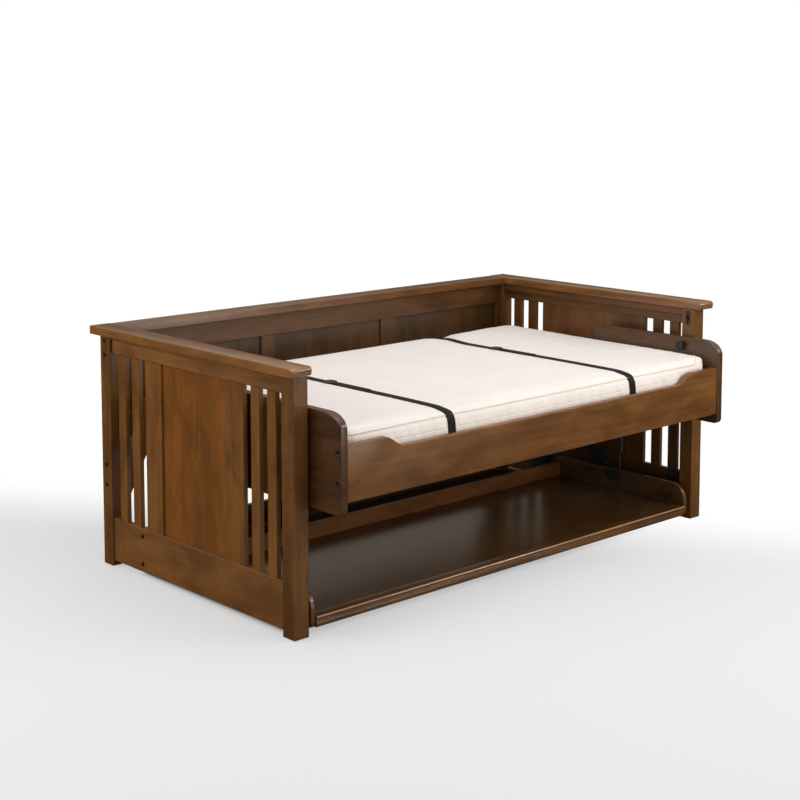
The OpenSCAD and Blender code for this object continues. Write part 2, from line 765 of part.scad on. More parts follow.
// Points of the wire, each with its height, its angle round the coil and its slope
coil_steps = curls * curl_steps;
coil_slope = atan2(curl_pitch, 2 * PI * coil_r);
wire = concat(
    [[wire_low, 90, 90], [coil_z0 - 2 * wire_d, 90, 90]],
    [for (i = [0 : coil_steps]) [coil_z0 + curl_pitch * i / curl_steps, 90 + 360 * i / curl_steps,
        (i == 0 || i == coil_steps) ? (90 + coil_slope) / 2 : coil_slope]],
    [[coil_z1 + 2 * wire_d, 90, 90], [bracket_z, 90, 90]]);
function wire_point(w) = [coil_r * cos(w[1]), coil_r * sin(w[1]), w[0]];
function wire_ring(w) = let (
    n = [cos(w[1]), sin(w[1]), 0],
    up = [sin(w[1]) * sin(w[2]), -cos(w[1]) * sin(w[2]), cos(w[2])])
    [for (k = [0 : 5]) wire_point(w) + wire_d / 2 * (cos(60 * k) * n + sin(60 * k) * up)];
wire_gap = min([for (i = [2 : coil_steps + 2 - curl_steps]) for (j = [-2 : 2])
    let (k = i + curl_steps + j) k > coil_steps + 2 ? 1000
    : norm(wire_point(wire[i]) - wire_point(wire[k])) - wire_d]);
echo(least_gap_between_curls = wire_gap);

module arm_spring(s) {
    rings = [for (w = wire) wire_ring(w)];
    m = len(rings);
    walls = [for (k = [0 : m - 2]) for (i = [0 : 5]) for (t = [0, 1])
        let (a = 6 * k + i, b = 6 * k + (i + 1) % 6)
        t == 0 ? [a, a + 6, b] : [b, a + 6, b + 6]];
    ends = [for (i = [1 : 4]) for (t = [0, 1]) t == 0 ? [0, i, i + 1]
        : [6 * m - 6, 6 * m - 6 + i + 1, 6 * m - 6 + i]];
    color(steel) side(s) translate([spring_x, spring_at[0], 0])
        polyhedron([for (r = rings) for (p = r) p], concat(walls, ends));
}

// Small angle under which the spring's upper end is held
bracket_w = 30;
bracket_h = 50;
bracket_d = 9;
bracket_t = 2.5;

module spring_brackets() {
    y0 = spring_at[0] - bracket_w / 2;
    color(steel) for (s = [-1, 1]) side(s) {
        translate([bed_out, y0, bracket_z]) cube([bracket_t, bracket_w, bracket_h]);
        translate([bed_out, y0, bracket_z]) cube([bracket_d, bracket_w, bracket_t]);
    }
}

// Sliding lock pins, drawn back at rest; pushed in, they enter the posts
module lock_body(p, x_face, knob_r, knob_h, travel, tip) {
    base = x_face - travel - 1;
    translate([0, p[0], p[1]]) rotate([0, 90, 0]) rotate_extrude() polygon(concat(
        [[0, base - knob_h]],
        arc([knob_r - 4, base - knob_h + 4], 4, -90, 0, 6),
        [[knob_r, base - 4], [knob_r - 3, base], [lock_r, base], [lock_r, tip - 1], [lock_r - 1, tip], [0, tip]]));
}

module bed_lock_pin(s) {
    color(black) side(s)
        lock_body(bed_lock, bed_in, bed_knob_r, bed_knob_h, bed_lock_travel, post_in_x - 0.5);
}

module desk_lock_pin(s) {
    color(black) side(s)
        lock_body(desk_lock, desk_in, desk_knob_r, desk_knob_h, desk_lock_travel, post_in_x - 4);
}

// Desk
module desk_top() {
    y0 = -desk_front + nose_d;
    color(wood) translate([-desk_in, y0, desk_z - desk_t]) cube([2 * desk_in, desk_back_y - y0, desk_t]);
}

module desk_nose() {
    y0 = -desk_front;
    y1 = y0 + nose_d;
    r = 9;
    profile = concat(
        [[y1, desk_low], [y1, desk_z]],
        arc([y0 + r, desk_z - r], r, 90, 180, 8),
        [[y0, desk_z - 1.5 * r], [y0 + 2, desk_z - 1.7 * r], [y0 + 6, desk_low]]);
    color(wood_light) yz(-desk_in, 2 * desk_in) polygon(profile);
}

module desk_side(s) {
    y0 = desk_side_front;
    r = desk_side_r;
    outline = concat(
        arc([y0 + 12, desk_low + 12], 12, 270, 180, 5),
        arc([y0 + r, desk_side_top - r], r, 180, 90),
        arc([desk_rear - 20, desk_side_top - 20], 20, 90, 0, 6),
        arc([desk_rear - 30, desk_low + 30], 30, 0, -90, 8));
    color(wood) side(s) difference() {
        yz(desk_in, desk_side_t) polygon(outline);
        bar(arm_pin, desk_in - 1, desk_out + 1, arm_pin_r + run_c);
        bar(level_pin, desk_in - 1, desk_out + 1, level_pin_r + run_c);
        bar(desk_lock, desk_in - 1, desk_out + 1, lock_r + lock_c);
    }
}

module desk_back() {
    color(wood) board_x([-desk_in, desk_back_y, desk_z - desk_t], [desk_in, desk_rear, desk_z + desk_back_up]);
}

module desk_battens() {
    y0 = -desk_front + nose_d;
    color(wood) for (x = [-1, 0, 1]) translate([x * (desk_in - 60) - 30, y0, desk_low])
        cube([60, desk_back_y - y0, nose_h - desk_t]);
}

// Headed pins fixed in the desk's sides: one carries the arm, the other the levelling link.
// The link's bore is wider than its pin, because the linkage is opened there.
module desk_pins() {
    color(steel) for (s = [-1, 1]) side(s) {
        bar(arm_pin, desk_in + 2, arm_x1 + side_c, arm_pin_r);
        bar(arm_pin, desk_out, arm_x - side_c, arm_pin_r * head_ratio);
        bar(arm_pin, arm_x1 + side_c, arm_x1 + side_c + pin_head_t, arm_pin_r * head_ratio);
        bar(level_pin, desk_in + 2, link_x1 + side_c, level_pin_r);
        bar(level_pin, desk_out, link_x - side_c, level_pin_r * head_ratio);
        bar(level_pin, link_x1 + side_c, link_x1 + side_c + pin_head_t, level_pin_r * head_ratio);
    }
}

open_c = 0.5;

module link(s) {
    color(steel) side(s) difference() {
        yz(link_x, link_t) polygon(link_outline(level_pivot, level_pin, link_w));
        bar(level_pivot, link_x - 1, link_x1 + 1, level_pin_r + run_c);
        bar(level_pin, link_x - 1, link_x1 + 1, level_pin_r + open_c);
    }
}

in_frame() post(-1, true);  // post_front_left
in_frame() post(1, true);  // post_front_right
in_frame() post(-1, false);  // post_rear_left
in_frame() post(1, false);  // post_rear_right
in_frame() end_cap(-1);  // cap_left
in_frame() end_cap(1);  // cap_right
in_frame() back_cap();  // cap_back
in_frame() top_rail(-1);  // top_rail_left
in_frame() top_rail(1);  // top_rail_right
in_frame() bottom_rail(-1);  // bottom_rail_left
in_frame() bottom_rail(1);  // bottom_rail_right
in_frame() cleats();
in_frame() stiles(-1);  // stiles_left
in_frame() stiles(1);  // stiles_right
in_frame() slats(-1);  // slats_left
in_frame() slats(1);  // slats_right
in_frame() end_panel(-1);  // panel_left
in_frame() end_panel(1);  // panel_right
in_frame() back_board(back_rail_z, cap_z);  // back_top_rail
in_frame() back_board(back_low_z, back_low_top);  // back_bottom_rail
in_frame() back_stiles();
in_frame() back_panels();
in_frame() back_board(low_rail_z, low_rail_z + stretcher_h);  // back_stretcher
in_frame() gussets();
in_frame() pivot_plates();
in_frame() pivot_pins();
in_frame() lock_plates();
in_frame() anchor_plates();
in_frame() frame_bolts();
in_frame() glides();
in_frame() bed_front_rail();
in_frame() bed_rear_rail();
in_frame() bed_end(-1);  // bed_end_left
in_frame() bed_end(1);  // bed_end_right
in_frame() bed_deck();
in_frame() bed_battens();
in_frame() bed_bolts();
in_frame() mattress();
in_frame() strap(-strap_x);  // strap_left
in_frame() strap(strap_x);  // strap_right
in_frame() strap_buckles();
in_frame() arm(-1);  // arm_left
in_frame() arm(1);  // arm_right
in_frame() arm_spring(-1);  // arm_spring_left
in_frame() arm_spring(1);  // arm_spring_right
in_frame() spring_brackets();
in_frame() bed_lock_pin(-1);  // bed_lock_left
in_frame() bed_lock_pin(1);  // bed_lock_right
in_frame() desk_lock_pin(-1);  // desk_lock_left
in_frame() desk_lock_pin(1);  // desk_lock_right
in_frame() desk_top();
in_frame() desk_nose();
in_frame() desk_side(-1);  // desk_side_left
in_frame() desk_side(1);  // desk_side_right
in_frame() desk_back();
in_frame() desk_battens();
in_frame() desk_pins();
in_frame() link(-1);  // link_left
in_frame() link(1);  // link_right
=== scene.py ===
# A desk bed in stained birch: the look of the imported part, for the photograph's view and any other.
import json
import math
import bpy
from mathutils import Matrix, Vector, noise
from mathutils.bvhtree import BVHTree

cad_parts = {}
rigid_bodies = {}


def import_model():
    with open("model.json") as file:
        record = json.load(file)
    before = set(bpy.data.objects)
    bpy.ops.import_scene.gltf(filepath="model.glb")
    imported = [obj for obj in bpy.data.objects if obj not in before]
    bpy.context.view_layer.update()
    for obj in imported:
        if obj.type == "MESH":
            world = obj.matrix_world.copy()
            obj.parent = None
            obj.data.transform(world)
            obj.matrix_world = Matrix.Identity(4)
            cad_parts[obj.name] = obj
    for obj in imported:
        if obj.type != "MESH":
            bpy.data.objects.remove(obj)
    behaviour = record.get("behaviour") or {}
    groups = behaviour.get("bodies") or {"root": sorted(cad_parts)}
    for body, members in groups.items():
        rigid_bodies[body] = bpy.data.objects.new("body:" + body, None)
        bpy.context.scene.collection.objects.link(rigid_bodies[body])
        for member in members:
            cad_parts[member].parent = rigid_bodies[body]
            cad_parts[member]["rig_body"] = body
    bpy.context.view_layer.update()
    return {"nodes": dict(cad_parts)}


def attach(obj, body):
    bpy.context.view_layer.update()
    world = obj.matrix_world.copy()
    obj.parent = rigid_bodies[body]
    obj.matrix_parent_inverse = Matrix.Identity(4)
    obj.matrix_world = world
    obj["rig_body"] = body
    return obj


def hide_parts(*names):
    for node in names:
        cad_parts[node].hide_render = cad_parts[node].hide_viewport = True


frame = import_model()
scene = bpy.context.scene
SET_BACK = 0.062  # the frame's middle lies this far behind the middle of the whole outline
SIDES = ((-1, "left"), (1, "right"))


def at(x, y, z):
    """A place in millimetres from the middle of the end panels, as a point of the model."""
    return Vector((x / 1000, y / 1000 + SET_BACK, z / 1000))


def measured(point):
    """A point of the model, in millimetres from the middle of the end panels."""
    return point.x * 1000, (point.y - SET_BACK) * 1000, point.z * 1000


# ------------------------------------------------------------------ nodes

def tone(code):
    """An sRGB hex value as the linear colour that a shader takes."""
    parts = [int(code[i:i + 2], 16) / 255 for i in (1, 3, 5)]
    return [p / 12.92 if p <= 0.04045 else ((p + 0.055) / 1.055) ** 2.4 for p in parts] + [1.0]


def add(tree, kind, inputs=None, **settings):
    """Adds a node with its own settings. An input takes a number, a hex colour, a socket, or a node,
    whose first output then feeds it."""
    made = tree.nodes.new("ShaderNode" + kind)
    for key, value in settings.items():
        setattr(made, key, value)
    for key, value in (inputs or {}).items():
        if isinstance(value, bpy.types.Node):
            value = value.outputs[0]
        if isinstance(value, bpy.types.NodeSocket):
            tree.links.new(value, made.inputs[key])
        else:
            made.inputs[key].default_value = tone(value) if isinstance(value, str) else value
    return made


def two_tones(tree, first, second, amount):
    """Mixes two colours, each a hex value or a socket. Where amount is 1, the second shows alone."""
    return add(tree, "Mix", {0: amount, 6: first, 7: second}, data_type="RGBA").outputs[2]


def emptied_tree(block):
    """The node tree of a material or world, with nothing in it yet."""
    block.use_nodes = True
    block.node_tree.nodes.clear()
    return block.node_tree


def new_finish(name, uv_map=None):
    """An empty material, its node tree, and the coordinates that its patterns follow: the object's own,
    or those of a UV map."""
    mat = bpy.data.materials.new(name)
    tree = emptied_tree(mat)
    lay = add(tree, "UVMap", uv_map=uv_map) if uv_map else add(tree, "TexCoord").outputs["Object"]
    return mat, tree, lay


def eye_and_mirror(tree):
    """Whether a ray comes from the eye, also through glass, and whether it comes from a glossy surface."""
    path = add(tree, "LightPath")
    seen = add(tree, "Math", {0: path.outputs["Is Camera Ray"], 1: path.outputs["Is Transmission Ray"]},
        operation="MAXIMUM")
    return seen, path.outputs["Is Glossy Ray"]


SOFTLY = {"interpolation_type": "SMOOTHSTEP"}  # a range that starts and ends gently


# ------------------------------------------------------------------ camera and light

def place_camera():
    """The photograph was taken from the left front, a little above the bed, with a long lens."""
    stand = (-4.1106, -4.3095, 1.8068)        # metres
    tilt_down, turn_right = 0.1069, 0.7440    # radians
    focal_pixels, frame_pixels, sensor = 1592.1, 800, 36
    data = bpy.data.cameras.new("studio_camera")
    camera = bpy.data.objects.new("studio_camera", data)
    scene.collection.objects.link(camera)
    camera.location = stand
    camera.rotation_euler = (math.pi / 2 - tilt_down, 0, -turn_right)
    data.sensor_width = sensor
    data.lens = focal_pixels / frame_pixels * sensor
    data.shift_y = -0.20  # part of the photograph's own shift, which keeps its posts upright
    data.clip_start, data.clip_end = 0.05, 200
    scene.camera = camera


def light_studio():
    """A white cove: even light from all round, soft boxes overhead and at the rear left, a strip light at the
    front right that draws thin bright lines along the rounded edges, and a low fill in front. The lacquer
    mirrors a cove that is dark and warm near the floor and pale above."""
    scene.world = bpy.data.worlds.new("white_cove")
    tree = emptied_tree(scene.world)
    seen, mirror = eye_and_mirror(tree)
    height = add(tree, "SeparateXYZ", {0: add(tree, "TexCoord").outputs["Generated"]}).outputs["Z"]
    glow = add(tree, "MapRange", {"Value": height, "From Min": -0.05, "From Max": 0.75,
        "To Min": 0.14, "To Max": 0.52})
    room = add(tree, "Background", {"Color": (1, 1, 1, 1), "Strength": glow})
    walls = add(tree, "MapRange", {"Value": height, "From Min": 0.02, "From Max": 0.8,
        "To Min": 0.06, "To Max": 0.85})
    mirrored = add(tree, "Background", {"Color": (1, 0.9, 0.76, 1), "Strength": walls})
    white = add(tree, "Background", {"Color": (1, 1, 1, 1), "Strength": 1.0})
    soft = add(tree, "MixShader", {0: mirror, 1: room, 2: mirrored})
    shown = add(tree, "MixShader", {0: seen, 1: soft, 2: white})
    add(tree, "OutputWorld", {"Surface": shown})

    for name, place, aim, wide, high, watts in (
            ("softbox_overhead", (-0.4, -1.0, 3.4), (0, -0.3, 0.4), 2.6, 2.2, 43),
            ("softbox_rear_left", (-3.7, 0.9, 1.8), (-0.8, 0.1, 0.4), 2.0, 1.4, 43),
            ("strip_light_front_right", (2.3, -3.1, 2.2), (0.1, -0.4, 0.3), 2.8, 0.8, 57),
            ("low_fill_front", (0.4, -4.2, 0.4), (0, 0, 0.15), 3.0, 0.5, 26)):
        data = bpy.data.lights.new(name, "AREA")
        data.shape, data.size, data.size_y, data.energy = "RECTANGLE", wide, high, watts
        lamp = bpy.data.objects.new(name, data)
        scene.collection.objects.link(lamp)
        lamp.location = place
        lamp.rotation_euler = (Vector(aim) - Vector(place)).to_track_quat("-Z", "Y").to_euler()


def shade_under_bed(tree, spot):
    """The shade under the bed is nearly black in the photograph, so the floor is painted dark there, most
    of all along the back and the end panels. Gives how far a point is inside that shape, and how dark."""
    middle_y, rear_posts_y = 0.14, 0.53
    parts = add(tree, "SeparateXYZ", {0: spot})
    x, y = parts.outputs["X"], parts.outputs["Y"]

    def gap(first, second):
        """How far two coordinates are apart."""
        between = add(tree, "Math", {0: first, 1: second}, operation="SUBTRACT")
        return add(tree, "Math", {0: between}, operation="ABSOLUTE")

    # It reaches a little past the rear right post, where the photograph is dark under the rail
    by_posts = gap(y, rear_posts_y)
    bulge = add(tree, "MapRange", {"Value": by_posts, "From Min": 0.13, "From Max": 0.02,
        "To Max": 0.12}, **SOFTLY)
    paler = add(tree, "MapRange", {"Value": x, "From Min": 1.05, "From Max": 1.12,
        "To Min": 1.0, "To Max": 0.75})
    sideways, lengthways = gap(x, bulge), gap(y, middle_y)
    within_x = add(tree, "MapRange", {"Value": sideways, "From Min": 1.035, "From Max": 0.985}, **SOFTLY)
    within_y = add(tree, "MapRange", {"Value": lengthways, "From Min": 0.57, "From Max": 0.51}, **SOFTLY)
    inside = add(tree, "Math", {0: within_x, 1: within_y}, operation="MULTIPLY")
    by_ends = add(tree, "MapRange", {"Value": sideways, "From Min": 0.3, "From Max": 0.88,
        "To Min": 0.4}, **SOFTLY)
    by_back = add(tree, "MapRange", {"Value": y, "From Min": -0.2, "From Max": 0.52,
        "To Min": 0.4}, **SOFTLY)
    dark = add(tree, "Math", {0: by_ends, 1: by_back}, operation="MAXIMUM")
    for share in (inside, paler):
        dark = add(tree, "Math", {0: dark, 1: share}, operation="MULTIPLY")
    return inside, dark


def lay_floor():
    """The cove's floor is pale grey near the bed, where it takes the shadow, and white further off."""
    bpy.ops.mesh.primitive_plane_add(size=60, location=(0, 0, 0))
    floor = bpy.context.object
    floor.name = "cove_floor"
    mat, tree, spot = new_finish("painted_cove_floor")
    seen, mirror = eye_and_mirror(tree)
    # It is white from 3.2 m away, and nearer than that behind the bed and to its right
    away = add(tree, "VectorMath", {0: spot}, operation="LENGTH").outputs["Value"]
    far = add(tree, "MapRange", {"Value": away, "From Min": 1.8, "From Max": 3.2}, **SOFTLY)
    behind = add(tree, "VectorMath", {0: spot, 1: (1.15, 0.85, 0)}, operation="DOT_PRODUCT").outputs["Value"]
    rear = add(tree, "MapRange", {"Value": behind, "From Min": -0.2, "From Max": 0.85,
        "To Min": 0.48}, **SOFTLY)
    inside, dark = shade_under_bed(tree, spot)
    open_floor = add(tree, "Math", {0: 1.0, 1: inside}, operation="SUBTRACT")
    fade = add(tree, "Math", {0: far, 1: rear}, operation="MAXIMUM")
    for share in (seen, open_floor):
        fade = add(tree, "Math", {0: fade, 1: share}, operation="MULTIPLY")
    plain = add(tree, "BsdfDiffuse", {"Color": two_tones(tree, "#D6D6D6", "#2E2216", dark)})
    # In the lacquer's reflections the floor is a dim warm brown, darker than the floor itself: a painted
    # reflection
    dim = add(tree, "BsdfDiffuse", {"Color": "#42372A"})
    white = add(tree, "Emission", {"Color": (1, 1, 1, 1), "Strength": 1.0})
    mirrored = add(tree, "MixShader", {0: mirror, 1: plain, 2: dim})
    mixed = add(tree, "MixShader", {0: fade, 1: mirrored, 2: white})
    add(tree, "OutputMaterial", {"Surface": mixed})
    floor.data.materials.append(mat)


# ------------------------------------------------------------------ finishes

def finished(mat, **sockets):
    """Gives a material its one shader. What is the same all over is set on the shader's own sockets."""
    inputs = {key.replace("_", " "): value for key, value in sockets.items()}
    shader = add(mat.node_tree, "BsdfPrincipled", inputs)
    add(mat.node_tree, "OutputMaterial", {"Surface": shader})
    return mat


GRAIN = {"x": (1, 0, 0), "y": (0, 1, 0), "z": (0, 0, 1)}


def stained_birch(name, along, light, dark, seed, rough=0.36, coat=0.25, figure=1.0):
    """Birch, wiped with a brown stain and sprayed with satin lacquer.
    The stain takes unevenly, so the eye sees soft cloudy patches drawn out along the grain over faint
    streaks, and the lacquer gives a broad, quiet shine that follows the rounded edges. Figure is how much
    of the grain the lacquer leaves: a filled and polished board has little."""
    mat, tree, spot = new_finish(name)
    pull = Vector(GRAIN[along])
    across = Vector((1, 1, 1)) - pull
    place = tuple(seed * step for step in (1.7, 2.3, 3.1))  # each finish takes its own run of the pattern

    def grain(per_metre_along, per_metre_across, detail, distortion=0.0):
        scale = pull * per_metre_along + across * per_metre_across
        stretched = add(tree, "Mapping", {"Vector": spot, "Location": place, "Scale": scale})
        return add(tree, "TexNoise", {"Vector": stretched, "Scale": 1.0, "Detail": detail, "Roughness": 0.55,
            "Distortion": distortion})

    clouds = grain(5, 13, 3, 0.5)       # patches of 80 by 200 mm
    streaks = grain(2.2, 85, 4, 0.3)    # growth rings cut flat, 12 mm apart
    fine = grain(10, 340, 3)            # early and late wood, 3 mm
    flecks = grain(48, 620, 2)          # short dark pores
    boards = grain(0.5, 4.2, 0)         # one board is darker than the next
    stain = add(tree, "MapRange", {"Value": clouds, "From Min": 0.3, "From Max": 0.7})
    for pattern, edge, share in ((streaks, 0.3, 0.22), (fine, 0.3, 0.12), (boards, 0.35, 0.2)):
        drift = add(tree, "MapRange", {"Value": pattern, "From Min": edge, "From Max": 1 - edge,
            "To Min": -share, "To Max": share})
        stain = add(tree, "Math", {0: stain, 1: drift}, operation="ADD")
    pores = add(tree, "MapRange", {"Value": flecks, "From Min": 0.60, "From Max": 0.74,
        "To Max": 0.42 * figure})
    wood = two_tones(tree, dark, light, stain)
    shine = add(tree, "MapRange", {"Value": streaks, "From Min": 0.3, "From Max": 0.7,
        "To Min": rough - 0.05 * figure, "To Max": rough + 0.07 * figure})
    relief = add(tree, "Math", {0: fine, 1: flecks}, operation="SUBTRACT")
    bump = add(tree, "Bump", {"Height": relief, "Strength": 0.08 * figure, "Distance": 0.0004})
    return finished(mat, Base_Color=two_tones(tree, wood, "#2A160A", pores), Roughness=shine, Normal=bump,
        Coat_Weight=coat, Coat_Roughness=0.22, IOR=1.5, Specular_IOR_Level=0.35)


def coated_steel(name, code, rough):
    """Mild steel under black powder coat: a fine orange-peel skin with a dull, spread-out shine."""
    mat, tree, spot = new_finish(name)
    peel = add(tree, "TexNoise", {"Vector": spot, "Scale": 900.0, "Detail": 2.0})  # 1 mm
    wear = add(tree, "TexNoise", {"Vector": spot, "Scale": 40.0, "Detail": 4.0})   # patches of 25 mm
    shine = add(tree, "MapRange", {"Value": wear, "To Min": rough - 0.06, "To Max": rough + 0.12})
    bump = add(tree, "Bump", {"Height": peel, "Strength": 0.12, "Distance": 0.0003})
    return finished(mat, Base_Color=code, Roughness=shine, Normal=bump, IOR=1.5)


def drawn_spring_wire():
    """Oil-hardened spring wire: grey-blue bare metal with fine die marks, so each curl has a narrow bright
    line."""
    mat, tree, spot = new_finish("drawn_spring_wire")
    die_marks = add(tree, "TexNoise", {"Vector": spot, "Scale": 260.0, "Detail": 3.0})  # 4 mm
    shine = add(tree, "MapRange", {"Value": die_marks, "To Min": 0.28, "To Max": 0.5})
    grey = two_tones(tree, "#6C787C", "#A9B2B5", die_marks)
    return finished(mat, Base_Color=grey, Roughness=shine, Metallic=0.7)


def blackened_bolt():
    """Steel bolt heads in black oxide, rubbed in places: nearly black, with a small oily shine on the dome."""
    mat, tree, spot = new_finish("black_oxide_bolt")
    rubbed_and_sheen = add(tree, "TexNoise", {"Vector": spot, "Scale": 120.0, "Detail": 2.0})  # 8 mm
    shine = add(tree, "MapRange", {"Value": rubbed_and_sheen, "To Min": 0.3, "To Max": 0.5})
    oxide = two_tones(tree, "#16130F", "#3A352E", rubbed_and_sheen)
    return finished(mat, Base_Color=oxide, Roughness=shine, Metallic=0.8)


def moulded_nylon(name, light, dark, rough):
    """Nylon or acetal straight from the mould: matte, with a fine spark-eroded grain."""
    mat, tree, spot = new_finish(name)
    spark = add(tree, "TexNoise", {"Vector": spot, "Scale": 700.0, "Detail": 2.0})  # 1.5 mm
    tint = add(tree, "TexNoise", {"Vector": spot, "Scale": 30.0, "Detail": 2.0})    # patches of 33 mm
    shine = add(tree, "MapRange", {"Value": tint, "To Min": rough - 0.05, "To Max": rough + 0.1})
    bump = add(tree, "Bump", {"Height": spark, "Strength": 0.2, "Distance": 0.0003})
    tinted = two_tones(tree, light, dark, tint)
    return finished(mat, Base_Color=tinted, Roughness=shine, Normal=bump, IOR=1.53)


def knit_ticking(name, light, dark, on_top):
    """Cream polyester knit over foam. It scatters light softly and pales at grazing angles. Its loops are
    drawn 4 mm apart, twice as coarse as the real ones, so that they show. The border is stitched down in
    small staggered oblongs, the top in larger and much fainter ones, and each stitched line sinks a little,
    with painted shade along its groove."""
    mat, tree, spot = new_finish(name)
    size, relief, darkest = (2.2, 0.1, 0.16) if on_top else (1.0, 0.3, 0.32)  # of the stitched pattern
    soft = add(tree, "TexNoise", {"Vector": spot, "Scale": 5.0, "Detail": 4.0, "Roughness": 0.6})
    amount = add(tree, "MapRange", {"Value": soft, "From Min": 0.35, "From Max": 0.7, "To Max": 0.55})
    knit = add(tree, "TexVoronoi", {"Vector": spot, "Scale": 250.0}, feature="SMOOTH_F1")
    loops = add(tree, "Bump", {"Height": knit, "Strength": 0.10, "Distance": 0.0006})
    parts = add(tree, "SeparateXYZ", {0: spot})
    pattern = spot
    if not on_top:  # on the border it runs round the mattress and up
        run = add(tree, "Math", {0: parts.outputs["X"], 1: parts.outputs["Y"]}, operation="ADD")
        pattern = add(tree, "CombineXYZ", {0: run, 1: parts.outputs["Z"]})
    moved = add(tree, "Mapping", {"Vector": pattern, "Location": (0.02, 0.0045, 0)})
    stitches = add(tree, "TexBrick", {"Vector": moved, "Scale": 1.0, "Mortar Size": 0.0035 * size,
        "Mortar Smooth": 1.0, "Brick Width": 0.092 * size, "Row Height": 0.042 * size},
        offset=0.42, squash=0.62, squash_frequency=3).outputs["Fac"]
    groove = add(tree, "Math", {0: 1.0, 1: stitches}, operation="SUBTRACT")
    stitched = add(tree, "Bump", {"Height": groove, "Normal": loops, "Strength": relief, "Distance": 0.004})
    wave = add(tree, "TexNoise", {"Vector": spot, "Scale": 9.0 / size, "Detail": 1.0})
    faint = add(tree, "MapRange", {"Value": wave, "From Min": 0.42, "From Max": 0.65, "To Max": darkest})
    # The stitched lines' painted shade is plainest toward the right-hand end, where the cover is loose
    loose = add(tree, "MapRange", {"Value": parts.outputs["X"], "From Min": 0.45, "From Max": 0.8,
        "To Min": 1.0, "To Max": 2.6})
    # Each stitched line is painted darker: painted shade in its groove
    stitch_painted_shade = stitches
    for share in (faint, loose):
        stitch_painted_shade = add(tree, "Math", {0: stitch_painted_shade, 1: share}, operation="MULTIPLY")
    cloth = two_tones(tree, light, dark, amount)
    return finished(mat, Base_Color=two_tones(tree, cloth, "#D3C4B4", stitch_painted_shade), Normal=stitched, Roughness=0.85,
        Sheen_Weight=0.25, Sheen_Roughness=0.5, IOR=1.45)


def seam_tape():
    """Woven cotton tape folded over the seam: a beige rib, slightly darker than the knit beside it."""
    mat, tree, spot = new_finish("cotton_seam_tape")
    twill = add(tree, "TexWave", {"Vector": spot, "Scale": 180.0, "Distortion": 0.4},
        bands_direction="DIAGONAL").outputs["Fac"]
    bump = add(tree, "Bump", {"Height": twill, "Strength": 0.4, "Distance": 0.0005})
    return finished(mat, Base_Color=two_tones(tree, "#EEE3D6", "#DDCDBB", twill), Normal=bump, Roughness=0.9,
        Sheen_Weight=0.2, IOR=1.45)


def woven_webbing():
    """Black polypropylene webbing: ribs of thick yarn across it, drawn 6 mm apart so that they show, and
    finer cords along it. The yarn is slightly shiny, and the ribs are painted a lighter grey in rubbed
    patches: a painted highlight along them."""
    mat, tree, lay = new_finish("woven_webbing", uv_map="webbing")
    warp = add(tree, "TexWave", {"Vector": lay, "Scale": 55.0}, bands_direction="X").outputs["Fac"]
    weft = add(tree, "TexWave", {"Vector": lay, "Scale": 50.0, "Distortion": 0.6},
        bands_direction="Y").outputs["Fac"]
    yarn = add(tree, "Math", {0: warp, 1: weft}, operation="MULTIPLY")
    rib_sheen_patches = add(tree, "TexNoise", {"Vector": lay, "Scale": 60.0, "Detail": 3.0})
    rubbed_and_sheen = add(tree, "MapRange", {"Value": rib_sheen_patches, "From Min": 0.45, "From Max": 0.75,
        "To Min": 0.1, "To Max": 0.6})
    # The ribs are painted a lighter grey in rubbed patches: a painted highlight
    amount = add(tree, "Math", {0: yarn, 1: rubbed_and_sheen}, operation="MULTIPLY")
    shine = add(tree, "MapRange", {"Value": yarn, "To Min": 0.68, "To Max": 0.5})
    bump = add(tree, "Bump", {"Height": yarn, "Strength": 0.6, "Distance": 0.0009})
    black = two_tones(tree, "#060707", "#242625", amount)
    return finished(mat, Base_Color=black, Roughness=shine, Normal=bump, Specular_IOR_Level=0.25, IOR=1.49)


# ------------------------------------------------------------------ making pieces

def pick(obj):
    """Selects one piece alone and makes it the active one."""
    bpy.ops.object.select_all(action="DESELECT")
    obj.select_set(True)
    bpy.context.view_layer.objects.active = obj


def edit(obj, mode="VERT", select="SELECT"):
    """Opens a piece in edit mode with all of it selected, or none of it."""
    pick(obj)
    bpy.ops.object.mode_set(mode="EDIT")
    bpy.ops.mesh.select_mode(type=mode)
    bpy.ops.mesh.select_all(action=select)


def leave_edit():
    bpy.ops.object.mode_set(mode="OBJECT")


def edit_edges(obj, wanted):
    """Opens a piece in edit mode with only those edges selected for which wanted(edge) is true."""
    edit(obj, "EDGE", "DESELECT")
    leave_edit()
    for edge in obj.data.edges:
        edge.select = wanted(edge)
    bpy.ops.object.mode_set(mode="EDIT")


def bevelled(obj, width, segments=3, angle=32):
    """Rounds every edge sharper than the angle, as a router and sanding leave it."""
    pick(obj)
    rounding = obj.modifiers.new("rounding", "BEVEL")
    rounding.width, rounding.segments = width / 1000, segments
    rounding.limit_method, rounding.angle_limit = "ANGLE", math.radians(angle)
    rounding.use_clamp_overlap = False
    bpy.ops.object.modifier_apply(modifier="rounding")
    bpy.ops.object.shade_smooth_by_angle(angle=math.radians(40))


def put(obj, name, body, finishes, stands_for=()):
    """Settles a finished piece at the origin, dresses it and fixes it to its body."""
    pick(obj)
    bpy.ops.object.transform_apply(location=True, rotation=True, scale=True)
    obj.name = obj.data.name = name
    obj.data.materials.clear()
    for finish in finishes if isinstance(finishes, list) else [finishes]:
        obj.data.materials.append(finish)
    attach(obj, body)
    if stands_for:
        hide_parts(*stands_for)
    return obj


